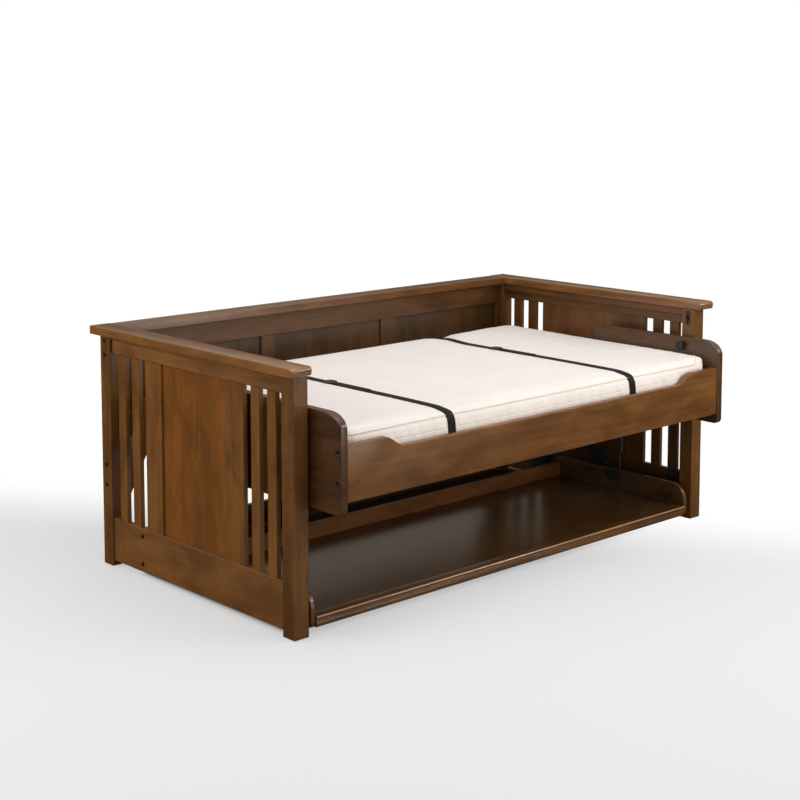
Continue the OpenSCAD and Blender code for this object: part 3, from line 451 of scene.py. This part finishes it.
def rounded_copy(node, width, finish, segments):
    """A CAD node's shape with its edges rounded. The CAD mesh is loose triangles, so the copy is joined up
    first."""
    source = frame["nodes"][node]
    copy = bpy.data.objects.new(node + "_shaped", source.data.copy())
    scene.collection.objects.link(copy)
    edit(copy)
    bpy.ops.mesh.remove_doubles(threshold=0.00002)
    bpy.ops.mesh.customdata_custom_splitnormals_clear()
    bpy.ops.mesh.dissolve_limited(angle_limit=math.radians(0.6))
    bpy.ops.mesh.normals_make_consistent(inside=False)
    leave_edit()
    bevelled(copy, width, segments)
    put(copy, node + "_shaped", source["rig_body"], finish, [node])


def ring(points, fill):
    """A closed line through points, bare or filled with one face."""
    bpy.ops.object.select_all(action="DESELECT")
    bpy.ops.mesh.primitive_circle_add(vertices=len(points), radius=1, fill_type=fill)
    obj = bpy.context.object
    for vertex, point in zip(obj.data.vertices, points):
        vertex.co = point
    return obj


def extruded(points, push):
    """A flat outline of points, pushed out along one direction and closed."""
    obj = ring(points, "NGON")
    edit(obj, "FACE")
    bpy.ops.mesh.extrude_region_move(TRANSFORM_OT_translate={"value": push})
    bpy.ops.mesh.select_all(action="SELECT")
    bpy.ops.mesh.normals_make_consistent(inside=False)
    leave_edit()
    return obj


def turned(profile, place, outward, steps=32):
    """Spins a profile of (along, radius) pairs in millimetres round an axis through place."""
    obj = ring([(radius / 1000, 0, along / 1000) for along, radius in profile], "NOTHING")
    last = len(profile) - 1
    edit_edges(obj, lambda edge: set(edge.vertices) == {0, last})
    bpy.ops.mesh.delete(type="EDGE_FACE")
    bpy.ops.mesh.select_all(action="SELECT")
    bpy.ops.mesh.spin(steps=steps, angle=2 * math.pi, center=(0, 0, 0), axis=(0, 0, 1))
    bpy.ops.mesh.select_all(action="SELECT")
    bpy.ops.mesh.remove_doubles(threshold=0.000005)
    bpy.ops.mesh.normals_make_consistent(inside=False)
    leave_edit()
    bpy.ops.object.shade_smooth_by_angle(angle=math.radians(38))
    obj.rotation_euler = Vector(outward).to_track_quat("Z", "Y").to_euler()
    obj.location = place
    bpy.ops.object.transform_apply(location=True, rotation=True, scale=True)
    return obj


def tube(points, radius, closed, resolution=2):
    """A round bar, wire or cord of some millimetres' radius through points, made a mesh."""
    data = bpy.data.curves.new("bar", "CURVE")
    data.dimensions, data.bevel_depth, data.bevel_resolution = "3D", radius / 1000, resolution
    data.use_fill_caps = True
    line = data.splines.new("POLY")
    line.points.add(len(points) - 1)
    line.use_cyclic_u = closed
    for stop, point in zip(line.points, points):
        stop.co = (*point, 1)
    obj = bpy.data.objects.new("bar", data)
    scene.collection.objects.link(obj)
    pick(obj)
    bpy.ops.object.convert(target="MESH")
    bpy.ops.object.shade_smooth()
    return bpy.context.object


def joined(pieces):
    """Several pieces made one."""
    pick(pieces[0])
    for piece in pieces:
        piece.select_set(True)
    bpy.ops.object.join()
    return bpy.context.object


def round_oblong(middle, half, radius, steps):
    """The outline of an oblong with round corners, as pairs of millimetres. Half is its two half widths."""
    pairs = []
    for quarter, corner in enumerate(((1, 1), (-1, 1), (-1, -1), (1, -1))):
        for i in range(steps + 1):
            a = math.radians(90 * quarter + 90 * i / steps)
            pairs.append([m + c * (h - radius) + radius * turn
                for m, c, h, turn in zip(middle, corner, half, (math.cos(a), math.sin(a)))])
    return pairs


# ------------------------------------------------------------------ the timber

def dress_timber():
    """Each board has its grain along its length, and no two groups share one run of grain."""
    groups = [  # finish, way of the grain, light and dark tones, seed, lacquer, slot and nodes
        ("posts", "z", "#754D21", "#583513", 1.0, {}, "frame_wood",
            ["post_front_left", "post_front_right", "post_rear_left", "post_rear_right"]),
        ("left_stiles", "z", "#835524", "#633C15", 2.0, {}, "frame_wood", ["stiles_left", "slats_left"]),
        ("left_panel", "z", "#8B5219", "#673D12", 3.0, {}, "panel_wood", ["panel_left"]),
        ("left_rails", "y", "#8A5A2C", "#69421D", 4.0, {}, "frame_wood",
            ["top_rail_left", "bottom_rail_left", "bed_battens"]),
        # The right-hand end's groups are darker copies of the left end's tones: painted shade on the end that
        # is seen from inside
        ("right_stiles", "z", "#6F481F", "#523213", 21.0, {}, "frame_wood", ["stiles_right", "slats_right"]),
        ("right_panel", "z", "#744617", "#563311", 22.0, {}, "panel_wood", ["panel_right"]),
        ("right_rails", "y", "#6C4623", "#523317", 23.0, {}, "frame_wood",
            ["top_rail_right", "bottom_rail_right", "cleats"]),
        ("back_rails", "x", "#65401D", "#492C10", 5.0, {}, "frame_wood",
            ["back_top_rail", "back_bottom_rail", "back_stretcher", "bed_rear_rail"]),
        # The back's panels and stiles are stained darker than the frame: painted shade, as they are seen from
        # inside under the bed
        ("back_panels", "z", "#583A1A", "#402A13", 18.0, {}, "panel_wood", ["back_panels"]),
        ("back_stiles", "z", "#5E3E1C", "#452C13", 19.0, {}, "frame_wood", ["back_stiles"]),
        ("plywood", "x", "#7A5636", "#5E3F24", 6.0, {}, "panel_wood", ["bed_deck"]),
        ("desktop", "x", "#60401F", "#432A11", 8.0, {"rough": 0.22, "coat": 0.35, "figure": 0.1}, "desk_wood",
            ["desk_top"]),
        # The desk's back board is stained lighter than the desk: painted light, as it lies under the bed where
        # little light reaches
        ("desk_edge", "x", "#8E5622", "#673A12", 7.0, {"rough": 0.5, "coat": 0.0}, "desk_wood",
            ["desk_back"]),
        ("desk_battens", "y", "#5A3B22", "#3E2713", 9.0, {}, "desk_wood", ["desk_battens"]),
    ]
    for name, along, light, dark, seed, lacquer, slot, nodes in groups:
        finish = stained_birch("stained_birch_" + name, along, light, dark, seed, **lacquer)
        for node in nodes:
            board = frame["nodes"][node]
            board.data.materials.clear()
            board.data.materials.append(finish)


def shape_timber():
    """Boards whose edges are routed: the light runs along their rounded edges as a thin line."""
    groups = [  # as above, and before the nodes the rounding's width in millimetres and its steps
        ("front_rail", "x", "#7E5023", "#5F3A16", 11.0, {}, "frame_wood", 3.5, 4, ["bed_front_rail"]),
        ("end_boards", "y", "#573615", "#3E230A", 12.0, {"coat": 0.6}, "frame_wood", 5, 5,
            ["bed_end_left", "bed_end_right"]),
        # The caps are stained lighter than the frame: painted light, for the light on their tops
        ("caps", "y", "#96632F", "#744921", 13.0, {"rough": 0.3, "coat": 0.9}, "cap_wood", 1.6, 3,
            ["cap_left", "cap_right"]),
        ("back_cap", "x", "#7C5029", "#5F3A1A", 14.0, {"rough": 0.33, "coat": 0.6}, "cap_wood", 1.2, 2,
            ["cap_back"]),
        ("desk_sides", "y", "#644122", "#472B12", 15.0, {"coat": 0.6}, "desk_wood", 4, 4,
            ["desk_side_left", "desk_side_right"]),
        ("gussets", "x", "#65401E", "#4A2D11", 16.0, {}, "frame_wood", 2, 3, ["gussets"]),
    ]
    for name, along, light, dark, seed, lacquer, slot, width, steps, nodes in groups:
        finish = stained_birch("stained_birch_" + name, along, light, dark, seed, **lacquer)
        for node in nodes:
            rounded_copy(node, width, finish, steps)


def mould_desk_nose():
    """The desk's front edge: a round nose over two beads, run on a moulder along its whole length."""
    front, back, top, low, half_length = -556, -514, 63, 25, 958
    nose_r, groove_in, bead_in = 6.5, 2.6, 4.2   # the beads' middles lie behind the groove under the nose
    bead_out, bead_half = 2.6, 2.4               # a bead's reach forward, and half its height
    outline = [(back, low), (back, top)]
    for i in range(11):
        a = math.radians(90 + 11 * i)
        outline.append((front + nose_r + nose_r * math.cos(a), top - nose_r + nose_r * math.sin(a)))
    outline += [(front + groove_in, top - 9.6), (front + groove_in, top - 11)]
    for centre in (top - 13.5, top - 19.5):
        for i in range(7):
            a = math.radians(90 + 30 * i)
            outline.append((front + bead_in + bead_out * math.cos(a), centre + bead_half * math.sin(a)))
    outline += [(front + 3.4, top - 23.5), (front + 4.5, low + 4), (front + 7, low)]
    nose = extruded([at(-half_length, y, z) for y, z in outline], (2 * half_length / 1000, 0, 0))
    bevelled(nose, 0.4, 2, 50)
    finishes = [
        stained_birch("stained_birch_desk_nose", "x", "#734E2A", "#58381D", 17.0, rough=0.3, coat=0.5,
            figure=0.4),
        stained_birch("birch_bead_painted_highlight", "x", "#C49468", "#9C7048", 20.0, rough=0.2, coat=1.0, figure=0.2)]
    put(nose, "desk_nose_moulding", "desk", finishes, ["desk_nose"])
    # The crown of the nose is stained pale: a painted highlight, a thin bright line along the bead
    crown_in, crown_low = 4.6, 3.6
    for face in nose.data.polygons:
        _, y, z = measured(face.center)
        face.material_index = 1 if y < front + crown_in and z > top - crown_low else 0


# ------------------------------------------------------------------ metal and plastic

def break_edges(steel, plate, nylon):
    """The CAD's steel parts and glides, with their edges broken as a file or a mould leaves them."""
    steel_widths = {"arm_left": 1.0, "arm_right": 1.0, "link_left": 0.8, "link_right": 0.8,
        "pivot_plates": 0.9, "anchor_plates": 0.8, "spring_brackets": 0.5, "pivot_pins": 0.8, "desk_pins": 0.8}
    for node, width in steel_widths.items():
        rounded_copy(node, width, steel, 2)
    rounded_copy("lock_plates", 0.6, plate, 2)
    rounded_copy("glides", 1.2, nylon, 3)


def drive_bolts(oxide):
    """Button-head bolts: a low dome round a socket that takes a hexagon key. The bed's are a size smaller."""
    dome = [(0, 8.2), (0.9, 8.2), (1.6, 7.4), (2.2, 5.9), (2.5, 4.2), (2.5, 2.9), (0.7, 2.5), (0.7, 0)]
    small_dome = [(along, radius * 0.86) for along, radius in dome]
    pivot_y, pivot_z, bolt_ring = 170, 506, 30
    frame_heads, bed_heads = [], []
    for side in (-1, 1):
        out = (side, 0, 0)
        places = [((1052, 528, z), out) for z in (834, 782, 377, 302)]      # rear posts
        places += [((1044, 313, z), out) for z in (51, 153)]                # bottom rails
        places.append(((932, 518, 427), (0, -1, 0)))                        # pivot plates
        frame_heads += [turned(dome, at(side * x, y, z), way, 24) for (x, y, z), way in places]
        for y, z in ((-689, 531.6), (-689, 629), (400, 500.5), (400, 589.3)):
            bed_heads.append(turned(small_dome, at(side * 984, y, z), out, 24))
        for turn in (20, 100, 190, 290):
            a = math.radians(turn)
            place = at(side * 990, pivot_y + bolt_ring * math.cos(a), pivot_z + bolt_ring * math.sin(a))
            bed_heads.append(turned(small_dome, place, out, 24))
    put(joined(frame_heads), "frame_bolt_heads", "root", oxide, ["frame_bolts"])
    put(joined(bed_heads), "bed_bolt_heads", "bed", oxide, ["bed_bolts"])


def fit_knobs(plastic):
    """Knobs that push the lock pins. The bed's are flat caps with a raised rim and, in their dished face,
    a cross to turn them by. The desk's are small and plain."""
    cap = [(-11, 0), (-11, 14), (-12, 16.6), (-14, 18), (-18, 18.3), (-20.2, 17.6), (-21, 16), (-21, 13.6),
        (-19.2, 12.6), (-18.8, 6), (-18.8, 0)]
    cap_pin = [(-12, 0), (-12, 5), (37.5, 5), (38.5, 4), (38.5, 0)]
    button = [(-12, 0), (-12, 8.6), (-13, 9.6), (-16, 9.9), (-18, 9.2), (-18.6, 7.4), (-17.6, 6.2),
        (-17.6, 0)]
    button_pin = [(-14, 0), (-14, 5), (29, 5), (30, 4), (30, 0)]
    board_x, lock_y, lock_z = 953, -526, 715
    desk_board_x, desk_lock_y, desk_lock_z = 958, -475, 89
    cross_x, cross_long, cross_wide, cross_high = board_x - 18, 12.2, 2, 0.0026
    for side, name in SIDES:
        out = (side, 0, 0)
        middle = at(side * board_x, lock_y, lock_z)
        pieces = [turned(cap, middle, out, 40), turned(cap_pin, middle, out, 24)]
        for long, wide in ((cross_long, cross_wide), (cross_wide, cross_long)):
            corners = ((-long, -wide), (long, -wide), (long, wide), (-long, wide))
            outline = [at(side * cross_x, lock_y + y, lock_z + z) for y, z in corners]
            bar = extruded(outline, (-side * cross_high, 0, 0))
            bevelled(bar, 0.5, 2)
            pieces.append(bar)
        put(joined(pieces), "bed_lock_knob_" + name, "bed_lock_" + name, plastic,
            ["bed_lock_" + name])
        middle = at(side * desk_board_x, desk_lock_y, desk_lock_z)
        pieces = [turned(button, middle, out, 32), turned(button_pin, middle, out, 24)]
        put(joined(pieces), "desk_lock_knob_" + name, "desk_lock_" + name, plastic,
            ["desk_lock_" + name])


def fit_wear_plates(steel):
    """Steel plates on the inner faces of the desk's side boards, where the pins of the arms come through."""
    board_x, pin_y, pin_z = 958, -170, 115
    plate_half, plate_r, plate_thick = (40, 22), 12, 0.003
    boss = [(2.5, 9.5), (4.2, 9.2), (5.2, 8), (5.2, 0)]
    plates = []
    for side in (-1, 1):
        outline = round_oblong((pin_y - 9, pin_z + 7), plate_half, plate_r, 4)
        plate = extruded([at(side * board_x, y, z) for y, z in outline], (-side * plate_thick, 0, 0))
        bevelled(plate, 0.7, 2)
        plates += [plate, turned(boss, at(side * board_x, pin_y, pin_z), (-side, 0, 0), 24)]
    put(joined(plates), "desk_wear_plates", "desk", steel)


def wind_springs(wire):
    """Extension springs, drawn open: 30 curls of 2.5 mm wire 6 mm apart, with a straight leg at each end."""
    coil_x, coil_y, coil_r, foot_z = 987, -199, 6.9, 215
    curls, steps, pitch, wire_r = 30, 14, 6.2, 1.25
    for side, name in SIDES:
        points = [at(side * coil_x, coil_y + coil_r, z) for z in (128.7, 170, 206)]
        for i in range(curls * steps + 1):
            a = math.radians(90) + 2 * math.pi * i / steps
            points.append(at(side * (coil_x + coil_r * math.cos(a)), coil_y + coil_r * math.sin(a),
                foot_z + pitch * i / steps))
        points += [at(side * coil_x, coil_y + coil_r, z) for z in (410, 422, 436)]
        put(tube(points, wire_r, False, 3), "arm_spring_coil_" + name, "bed", wire,
            ["arm_spring_" + name])


# ------------------------------------------------------------------ mattress and straps

# Everything here is in millimetres unless it says otherwise.
PAD_LOW, PAD_HIGH = (-948, -673, 502.4), (948, 384, 694)  # the space that the mattress may fill
LEFT, FRONT = PAD_LOW[:2]
RIGHT, REAR = PAD_HIGH[:2]
SEAM_Z = 666      # height of the border's upper seam
RIM_X = 931       # where that seam runs along the right-hand end, on the top
SEAM_HALF = 9     # points this near to a seam are held when the cover swells
STRAP_X = (-470, 470)
STRAP_W = 35


def mattress_blank():
    """A soft-cornered block, a little smaller than the mattress, in even squares of 16 mm."""
    inset, square, corner_r, edge_r = 0.008, 0.016, 0.05, 22
    low, high = at(*PAD_LOW), at(*PAD_HIGH)
    bpy.ops.object.select_all(action="DESELECT")
    bpy.ops.mesh.primitive_cube_add(size=1, location=(low + high) / 2 - Vector((0, 0, inset / 2)))
    block = bpy.context.object
    block.scale = high - low - Vector((2, 2, 1)) * inset
    bpy.ops.object.transform_apply(location=True, rotation=True, scale=True)

    def upright(edge):
        first, second = (block.data.vertices[i].co.z for i in edge.vertices)
        return abs(first - second) > 0.1

    edit_edges(block, upright)
    bpy.ops.mesh.bevel(offset=corner_r, segments=5, affect="EDGES")
    leave_edit()
    bevelled(block, edge_r, 4)
    block.data.remesh_voxel_size = square
    bpy.ops.object.voxel_remesh()
    return block


def swell(pad, held, reach, frames=20):
    """Pressure from inside swells the cloth between its seams. No point moves further than reach, in
    metres."""
    group = pad.vertex_groups.new(name="held")
    group.add(held, 1.0, "REPLACE")
    before = [vertex.co.copy() for vertex in pad.data.vertices]
    pick(pad)
    cloth = pad.modifiers.new("swelling", "CLOTH")
    fabric = cloth.settings
    fabric.use_pressure, fabric.uniform_pressure_force = True, 4.0
    fabric.vertex_group_mass = "held"
    fabric.shrink_min = -0.012  # the cover grows by 1.2 %
    fabric.effector_weights.gravity = 0.0
    cloth.point_cache.frame_start, cloth.point_cache.frame_end = 1, frames
    for number in range(1, frames + 1):
        scene.frame_set(number)
    bpy.ops.object.modifier_apply(modifier="swelling")
    for vertex, start in zip(pad.data.vertices, before):
        step = vertex.co - start
        if step.length > reach:
            vertex.co = start + step * (reach / step.length)
    pad.vertex_groups.remove(pad.vertex_groups["held"])
    scene.frame_set(1)


def hump(distance, half_width, edge):
    """1 within half_width, easing to 0 over the edge."""
    t = min(max((abs(distance) - half_width) / edge, 0), 1)
    return 1 - t * t * (3 - 2 * t)


def crown_at(x, y):
    """How high the top panel stands over its seam. It is fuller at the rear, each strap presses a broad
    trough into it, which is shallower and narrower by the rear edge, and it is lower along both ends."""
    front_crown, rear_gain, end_crown = 23, 12, 25
    trough, rear_rise, spread, rear_narrowing = 17, 9, 110, 40
    by_rear = hump(REAR - y, 30, 170)
    crown = front_crown + rear_gain * (y - FRONT) / (REAR - FRONT)
    for strap in STRAP_X:
        drawn_down = hump(x - strap, 18, spread - rear_narrowing * by_rear)
        crown += (trough + rear_rise * by_rear - crown) * drawn_down
    return crown + (min(crown, end_crown) - crown) * hump(RIGHT - abs(x), 20, 80)


def sink_at(x, y, z, upward):
    """How far the cover is drawn in: at its seams, in its loose folds and under the straps. Upward is its
    normal's upward part."""
    seam_depth, rim_depth, fold_depth, wave_depth, strap_depth = 3.2, 3.4, 3.4, 1.6, 1.6
    seam_reach, strap_reach, seam_end = 12, 24, 905
    on_top = z > SEAM_Z + 8
    sink = 0.0
    if x < seam_end and not (on_top and upward > 0.8):
        sink += seam_depth * hump(z - SEAM_Z, 0, seam_reach)
    if on_top:
        sink += rim_depth * hump(x - RIM_X, 0, seam_reach)
        # Loose along the right-hand end, and less so at the front left corner
        loose = hump(x - 845, 40, 60) + 0.8 * hump(x + 860, 60, 120) * hump(y + 610, 50, 120)
        folds = noise.noise(Vector((x / 34, y / 95, 3.1))) + 0.5 * noise.noise(Vector((x / 18, y / 40, 7.7)))
        sink += fold_depth * loose * abs(folds)
        sink += wave_depth * noise.noise(Vector((x / 260, y / 260, 0.4)))
    for strap in STRAP_X:
        sink += strap_depth * hump(x - strap, STRAP_W / 2, strap_reach)
    return sink


def make_mattress(top_cloth, border_cloth):
    """A spring mattress in a knit cover: a crowned top panel, a quilted border and a sunk seam between them.
    The straps press two broad troughs into it, and the cover is loose at the right-hand end."""
    lower_edge, round_edge, border_bulge = 530, 34, 612
    flat_top, overhang, headroom, reach = 0.692, 0.012, 0.01, 0.009  # metres
    pad = mattress_blank()
    held = []
    for i, vertex in enumerate(pad.data.vertices):
        x, y, z = measured(vertex.co)
        on_seam = abs(z - SEAM_Z) < SEAM_HALF and x < 900
        on_rim = abs(x - RIM_X) < SEAM_HALF and x > 900 and z > SEAM_Z
        if z < lower_edge or on_seam or on_rim:
            held.append(i)
    swell(pad, held, reach)
    pick(pad)
    finer = pad.modifiers.new("finer", "SUBSURF")
    finer.levels = finer.render_levels = 1
    bpy.ops.object.modifier_apply(modifier="finer")
    mesh = pad.data
    normals = [vertex.normal.copy() for vertex in mesh.vertices]
    low, high = at(*PAD_LOW), at(*PAD_HIGH) + Vector((0, overhang, headroom))
    for vertex, normal in zip(mesh.vertices, normals):
        x, y, z = measured(vertex.co)
        moved = vertex.co.copy()
        if z > SEAM_Z:
            edge_gap = min(RIGHT - abs(x), y - FRONT, REAR - y)
            rise = 1 - (1 - min(max(edge_gap / round_edge, 0), 1)) ** 3
            faces_up = min(max((normal.z - 0.2) / 0.4, 0), 1)
            crowned = (SEAM_Z + crown_at(x, y) * rise - z) / 1000
            moved.z += faces_up * (crowned + (vertex.co.z - flat_top) * 0.5 * rise)
        if z > border_bulge:  # the border hangs a little over the rear rail
            moved.y += overhang * hump(REAR - y, 0, 240) * hump(z - 660, 10, 38)
        moved -= normal * (sink_at(x, y, z, normal.z) / 1000)
        vertex.co = [min(max(value, a), b) for value, a, b in zip(moved, low, high)]
    mesh.update()
    put(pad, "mattress_pad", "bed", [top_cloth, border_cloth], ["mattress"])
    for face in mesh.polygons:
        face.use_smooth = True
        x, _, z = measured(face.center)
        below = z < SEAM_Z and abs(face.normal.z) < 0.8
        rim = x > RIM_X and z > 520
        face.material_index = 1 if below or rim else 0
    return pad


def skin_of(covers):
    """The outsides of some pieces as one surface that rays can be cast at."""
    points, faces = [], []
    for cover in covers:
        start = len(points)
        points += [vertex.co.copy() for vertex in cover.data.vertices]
        faces += [[start + i for i in face.vertices] for face in cover.data.polygons]
    return BVHTree.FromPolygons(points, faces)


def skin_point(skin, target, outward, lift):
    """The place on the cover over target, lifted a little off it. The ray comes in from 0.4 m outside."""
    found = skin.ray_cast(target + outward * 0.4, -outward)[0]
    return found + outward * (lift / 1000)


def run_piping(skin, tape):
    """Tape folded over the cord of the seam. It runs round the border and climbs onto the top at the right."""
    inset, climb, swing = 90, 40, 20
    forward, left, back, up = Vector((0, -1, 0)), Vector((-1, 0, 0)), Vector((0, 1, 0)), Vector((0, 0, 1))
    front_right, rear_right = (at(RIGHT - inset, y, SEAM_Z) for y in (FRONT + inset, REAR - inset))
    front_left, rear_left = (at(LEFT + inset, y, SEAM_Z) for y in (FRONT + inset, REAR - inset))
    rim_front = at(RIM_X, FRONT + inset - swing, SEAM_Z - climb)
    rim_rear = at(RIM_X, REAR - inset + swing, SEAM_Z - climb)
    points = []
    for start, end, way, next_way, steps in (
            (front_right, front_left, forward, forward, 60), (front_left, front_left, forward, left, 10),
            (front_left, rear_left, left, left, 30), (rear_left, rear_left, left, back, 10),
            (rear_left, rear_right, back, back, 60), (rear_right, rim_rear, back, up, 14),
            (rim_rear, rim_front, up, up, 30), (rim_front, front_right, up, forward, 14)):
        turning = way != next_way  # a turn leaves out its ends, which its neighbours have
        for i in range(1, steps) if turning else range(steps + 1):
            a = math.radians(90 * i / steps)
            outward = way * math.cos(a) + next_way * math.sin(a) if turning else way
            points.append(skin_point(skin, start.lerp(end, i / steps), outward, 0.6))
    return put(tube(points, 2.6, True), "mattress_piping", "bed", tape)


def strap_route():
    """Stops from behind the front rail, over the mattress, to behind the rear rail. Each is a place inside
    the mattress, y and z, and the angle at which the strap faces away: 0 forward, 90 up and 180 back."""
    side_in, turn_in, turn_z = 60, 45, 645
    flat = REAR - FRONT - 2 * turn_in
    route = [(FRONT + side_in, z, 0) for z in range(560, 652, 10)]
    route += [(FRONT + turn_in, turn_z, angle) for angle in range(10, 81, 10)]
    route += [(FRONT + turn_in + flat * i / 84, turn_z, 90) for i in range(85)]
    route += [(REAR - turn_in, turn_z, angle) for angle in range(100, 171, 10)]
    return route + [(REAR - side_in, z, 180) for z in range(650, 558, -10)]


def lay_webbing(skin, strap, route, lift):
    """A flat band over the mattress. Its UV map holds metres across and along it, for the weave."""
    across = [-1, -0.6, 0, 0.6, 1]
    stiffness = 0.8  # how far each row is drawn level with its highest point
    angles = [math.radians(angle) for _, _, angle in route]
    outwards = [Vector((0, -math.cos(a), math.sin(a))) for a in angles]
    rows = []
    for (y, z, _), outward in zip(route, outwards):
        hits = [skin_point(skin, at(strap + side * STRAP_W / 2, y, z), outward, lift) for side in across]
        level = max(hit.dot(outward) for hit in hits)
        rows.append([hit + outward * (level - hit.dot(outward)) * stiffness for hit in hits])
    for _ in range(2):  # taut webbing bridges the seam's groove: no row lies under its neighbours' line
        drawn = [[b + outward * max(((a + c) / 2 - b).dot(outward), 0) for a, b, c in zip(*three)]
            for *three, outward in zip(rows, rows[1:], rows[2:], outwards[1:])]
        rows = [rows[0], *drawn, rows[-1]]
    bpy.ops.object.select_all(action="DESELECT")
    bpy.ops.mesh.primitive_grid_add(x_subdivisions=len(across) - 1, y_subdivisions=len(rows) - 1, size=1)
    band = bpy.context.object
    mesh = band.data
    for vertex, point in zip(mesh.vertices, [point for row in rows for point in row]):
        vertex.co = point
    along = [0.0]
    for here, following in zip(rows, rows[1:]):
        along.append(along[-1] + (following[2] - here[2]).length)
    while mesh.uv_layers:
        mesh.uv_layers.remove(mesh.uv_layers[0])
    lay = mesh.uv_layers.new(name="webbing")
    for loop in mesh.loops:
        row, column = divmod(loop.vertex_index, len(across))
        lay.data[loop.index].uv = (across[column] * STRAP_W / 2000, along[row])
    pick(band)
    thick = band.modifiers.new("thick", "SOLIDIFY")
    thick.thickness, thick.offset = 0.0018, 0
    bpy.ops.object.modifier_apply(modifier="thick")
    bpy.ops.object.shade_smooth_by_angle(angle=math.radians(40))
    return band


def ladder_lock(x, y, z):
    """A moulded frame with two cross bars and a lifted lip. The webbing runs under it and back over a bar."""
    half_w, half_l, corner_r = STRAP_W / 2 + 3.6, 14.5, 5
    rim = [at(px, py, z) for px, py in round_oblong((x, y), (half_w, half_l), corner_r, 5)]
    pieces = [tube(rim, 2.7, True, 3)]
    for place, radius, lift in ((-3.5, 2.3, 0.8), (4.0, 2.0, 0.2)):
        stops = ((1 - half_w, 0), (5 - half_w, lift), (0, lift), (half_w - 5, lift), (half_w - 1, 0))
        pieces.append(tube([at(x + px, y + place, z + up) for px, up in stops], radius, False, 3))
    lip = ((-0.7 * half_w, 1.5, 1.4), (0, 3.2, 2.2), (0.7 * half_w, 1.5, 1.4))
    pieces.append(tube([at(x + px, y + half_l + py, z + up) for px, py, up in lip], 2.0, False, 3))
    return joined(pieces)


def strap_mattress(pad, webbing, plastic, tape):
    """Two webbing straps that hold the mattress down, each drawn tight through a ladder-lock buckle, with
    the doubled tail on the strap in front of it."""
    tail_length, tail_past = 205, 8
    strap_lift, tail_lift, buckle_lift = 1.0, 3.1, 4.6
    piping = run_piping(skin_of([pad]), tape)
    skin = skin_of([pad, piping])
    route = strap_route()
    buckles = []
    for strap, name, buckle_y in ((STRAP_X[0], "left", -44), (STRAP_X[1], "right", 31)):
        tail_route = [stop for stop in route
            if stop[2] == 90 and buckle_y - tail_length <= stop[0] <= buckle_y + tail_past]
        bands = [lay_webbing(skin, strap, route, strap_lift), lay_webbing(skin, strap, tail_route, tail_lift)]
        put(joined(bands), "webbing_strap_" + name, "bed", webbing, ["strap_" + name])
        _, _, z = measured(skin_point(skin, at(strap, buckle_y, 640), Vector((0, 0, 1)), 0))
        buckles.append(ladder_lock(strap, buckle_y, z + buckle_lift))
    put(joined(buckles), "ladder_lock_buckles", "bed", plastic, ["strap_buckles"])


# ------------------------------------------------------------------ main

scene.view_settings.view_transform = "Standard"
place_camera()
light_studio()
bpy.ops.object.select_all(action="DESELECT")
lay_floor()
dress_timber()
shape_timber()
mould_desk_nose()
powder_coat = coated_steel("powder_coated_steel", "#1F2B2E", 0.42)
blackened_plate = coated_steel("blackened_steel_plate", "#141516", 0.5)
break_edges(powder_coat, blackened_plate, moulded_nylon("moulded_nylon_natural", "#D8D4CC", "#B9B6AF", 0.5))
drive_bolts(blackened_bolt())
fit_knobs(moulded_nylon("moulded_nylon_black", "#16181A", "#121416", 0.42))
fit_wear_plates(powder_coat)
wind_springs(drawn_spring_wire())
mattress_pad = make_mattress(knit_ticking("knit_ticking", "#F2E9E3", "#EADFD7", True),
    knit_ticking("quilted_knit_border", "#EFE5DB", "#E6D9CC", False))
buckle_acetal = moulded_nylon("moulded_acetal_black", "#141515", "#111212", 0.4)
strap_mattress(mattress_pad, woven_webbing(), buckle_acetal, seam_tape())
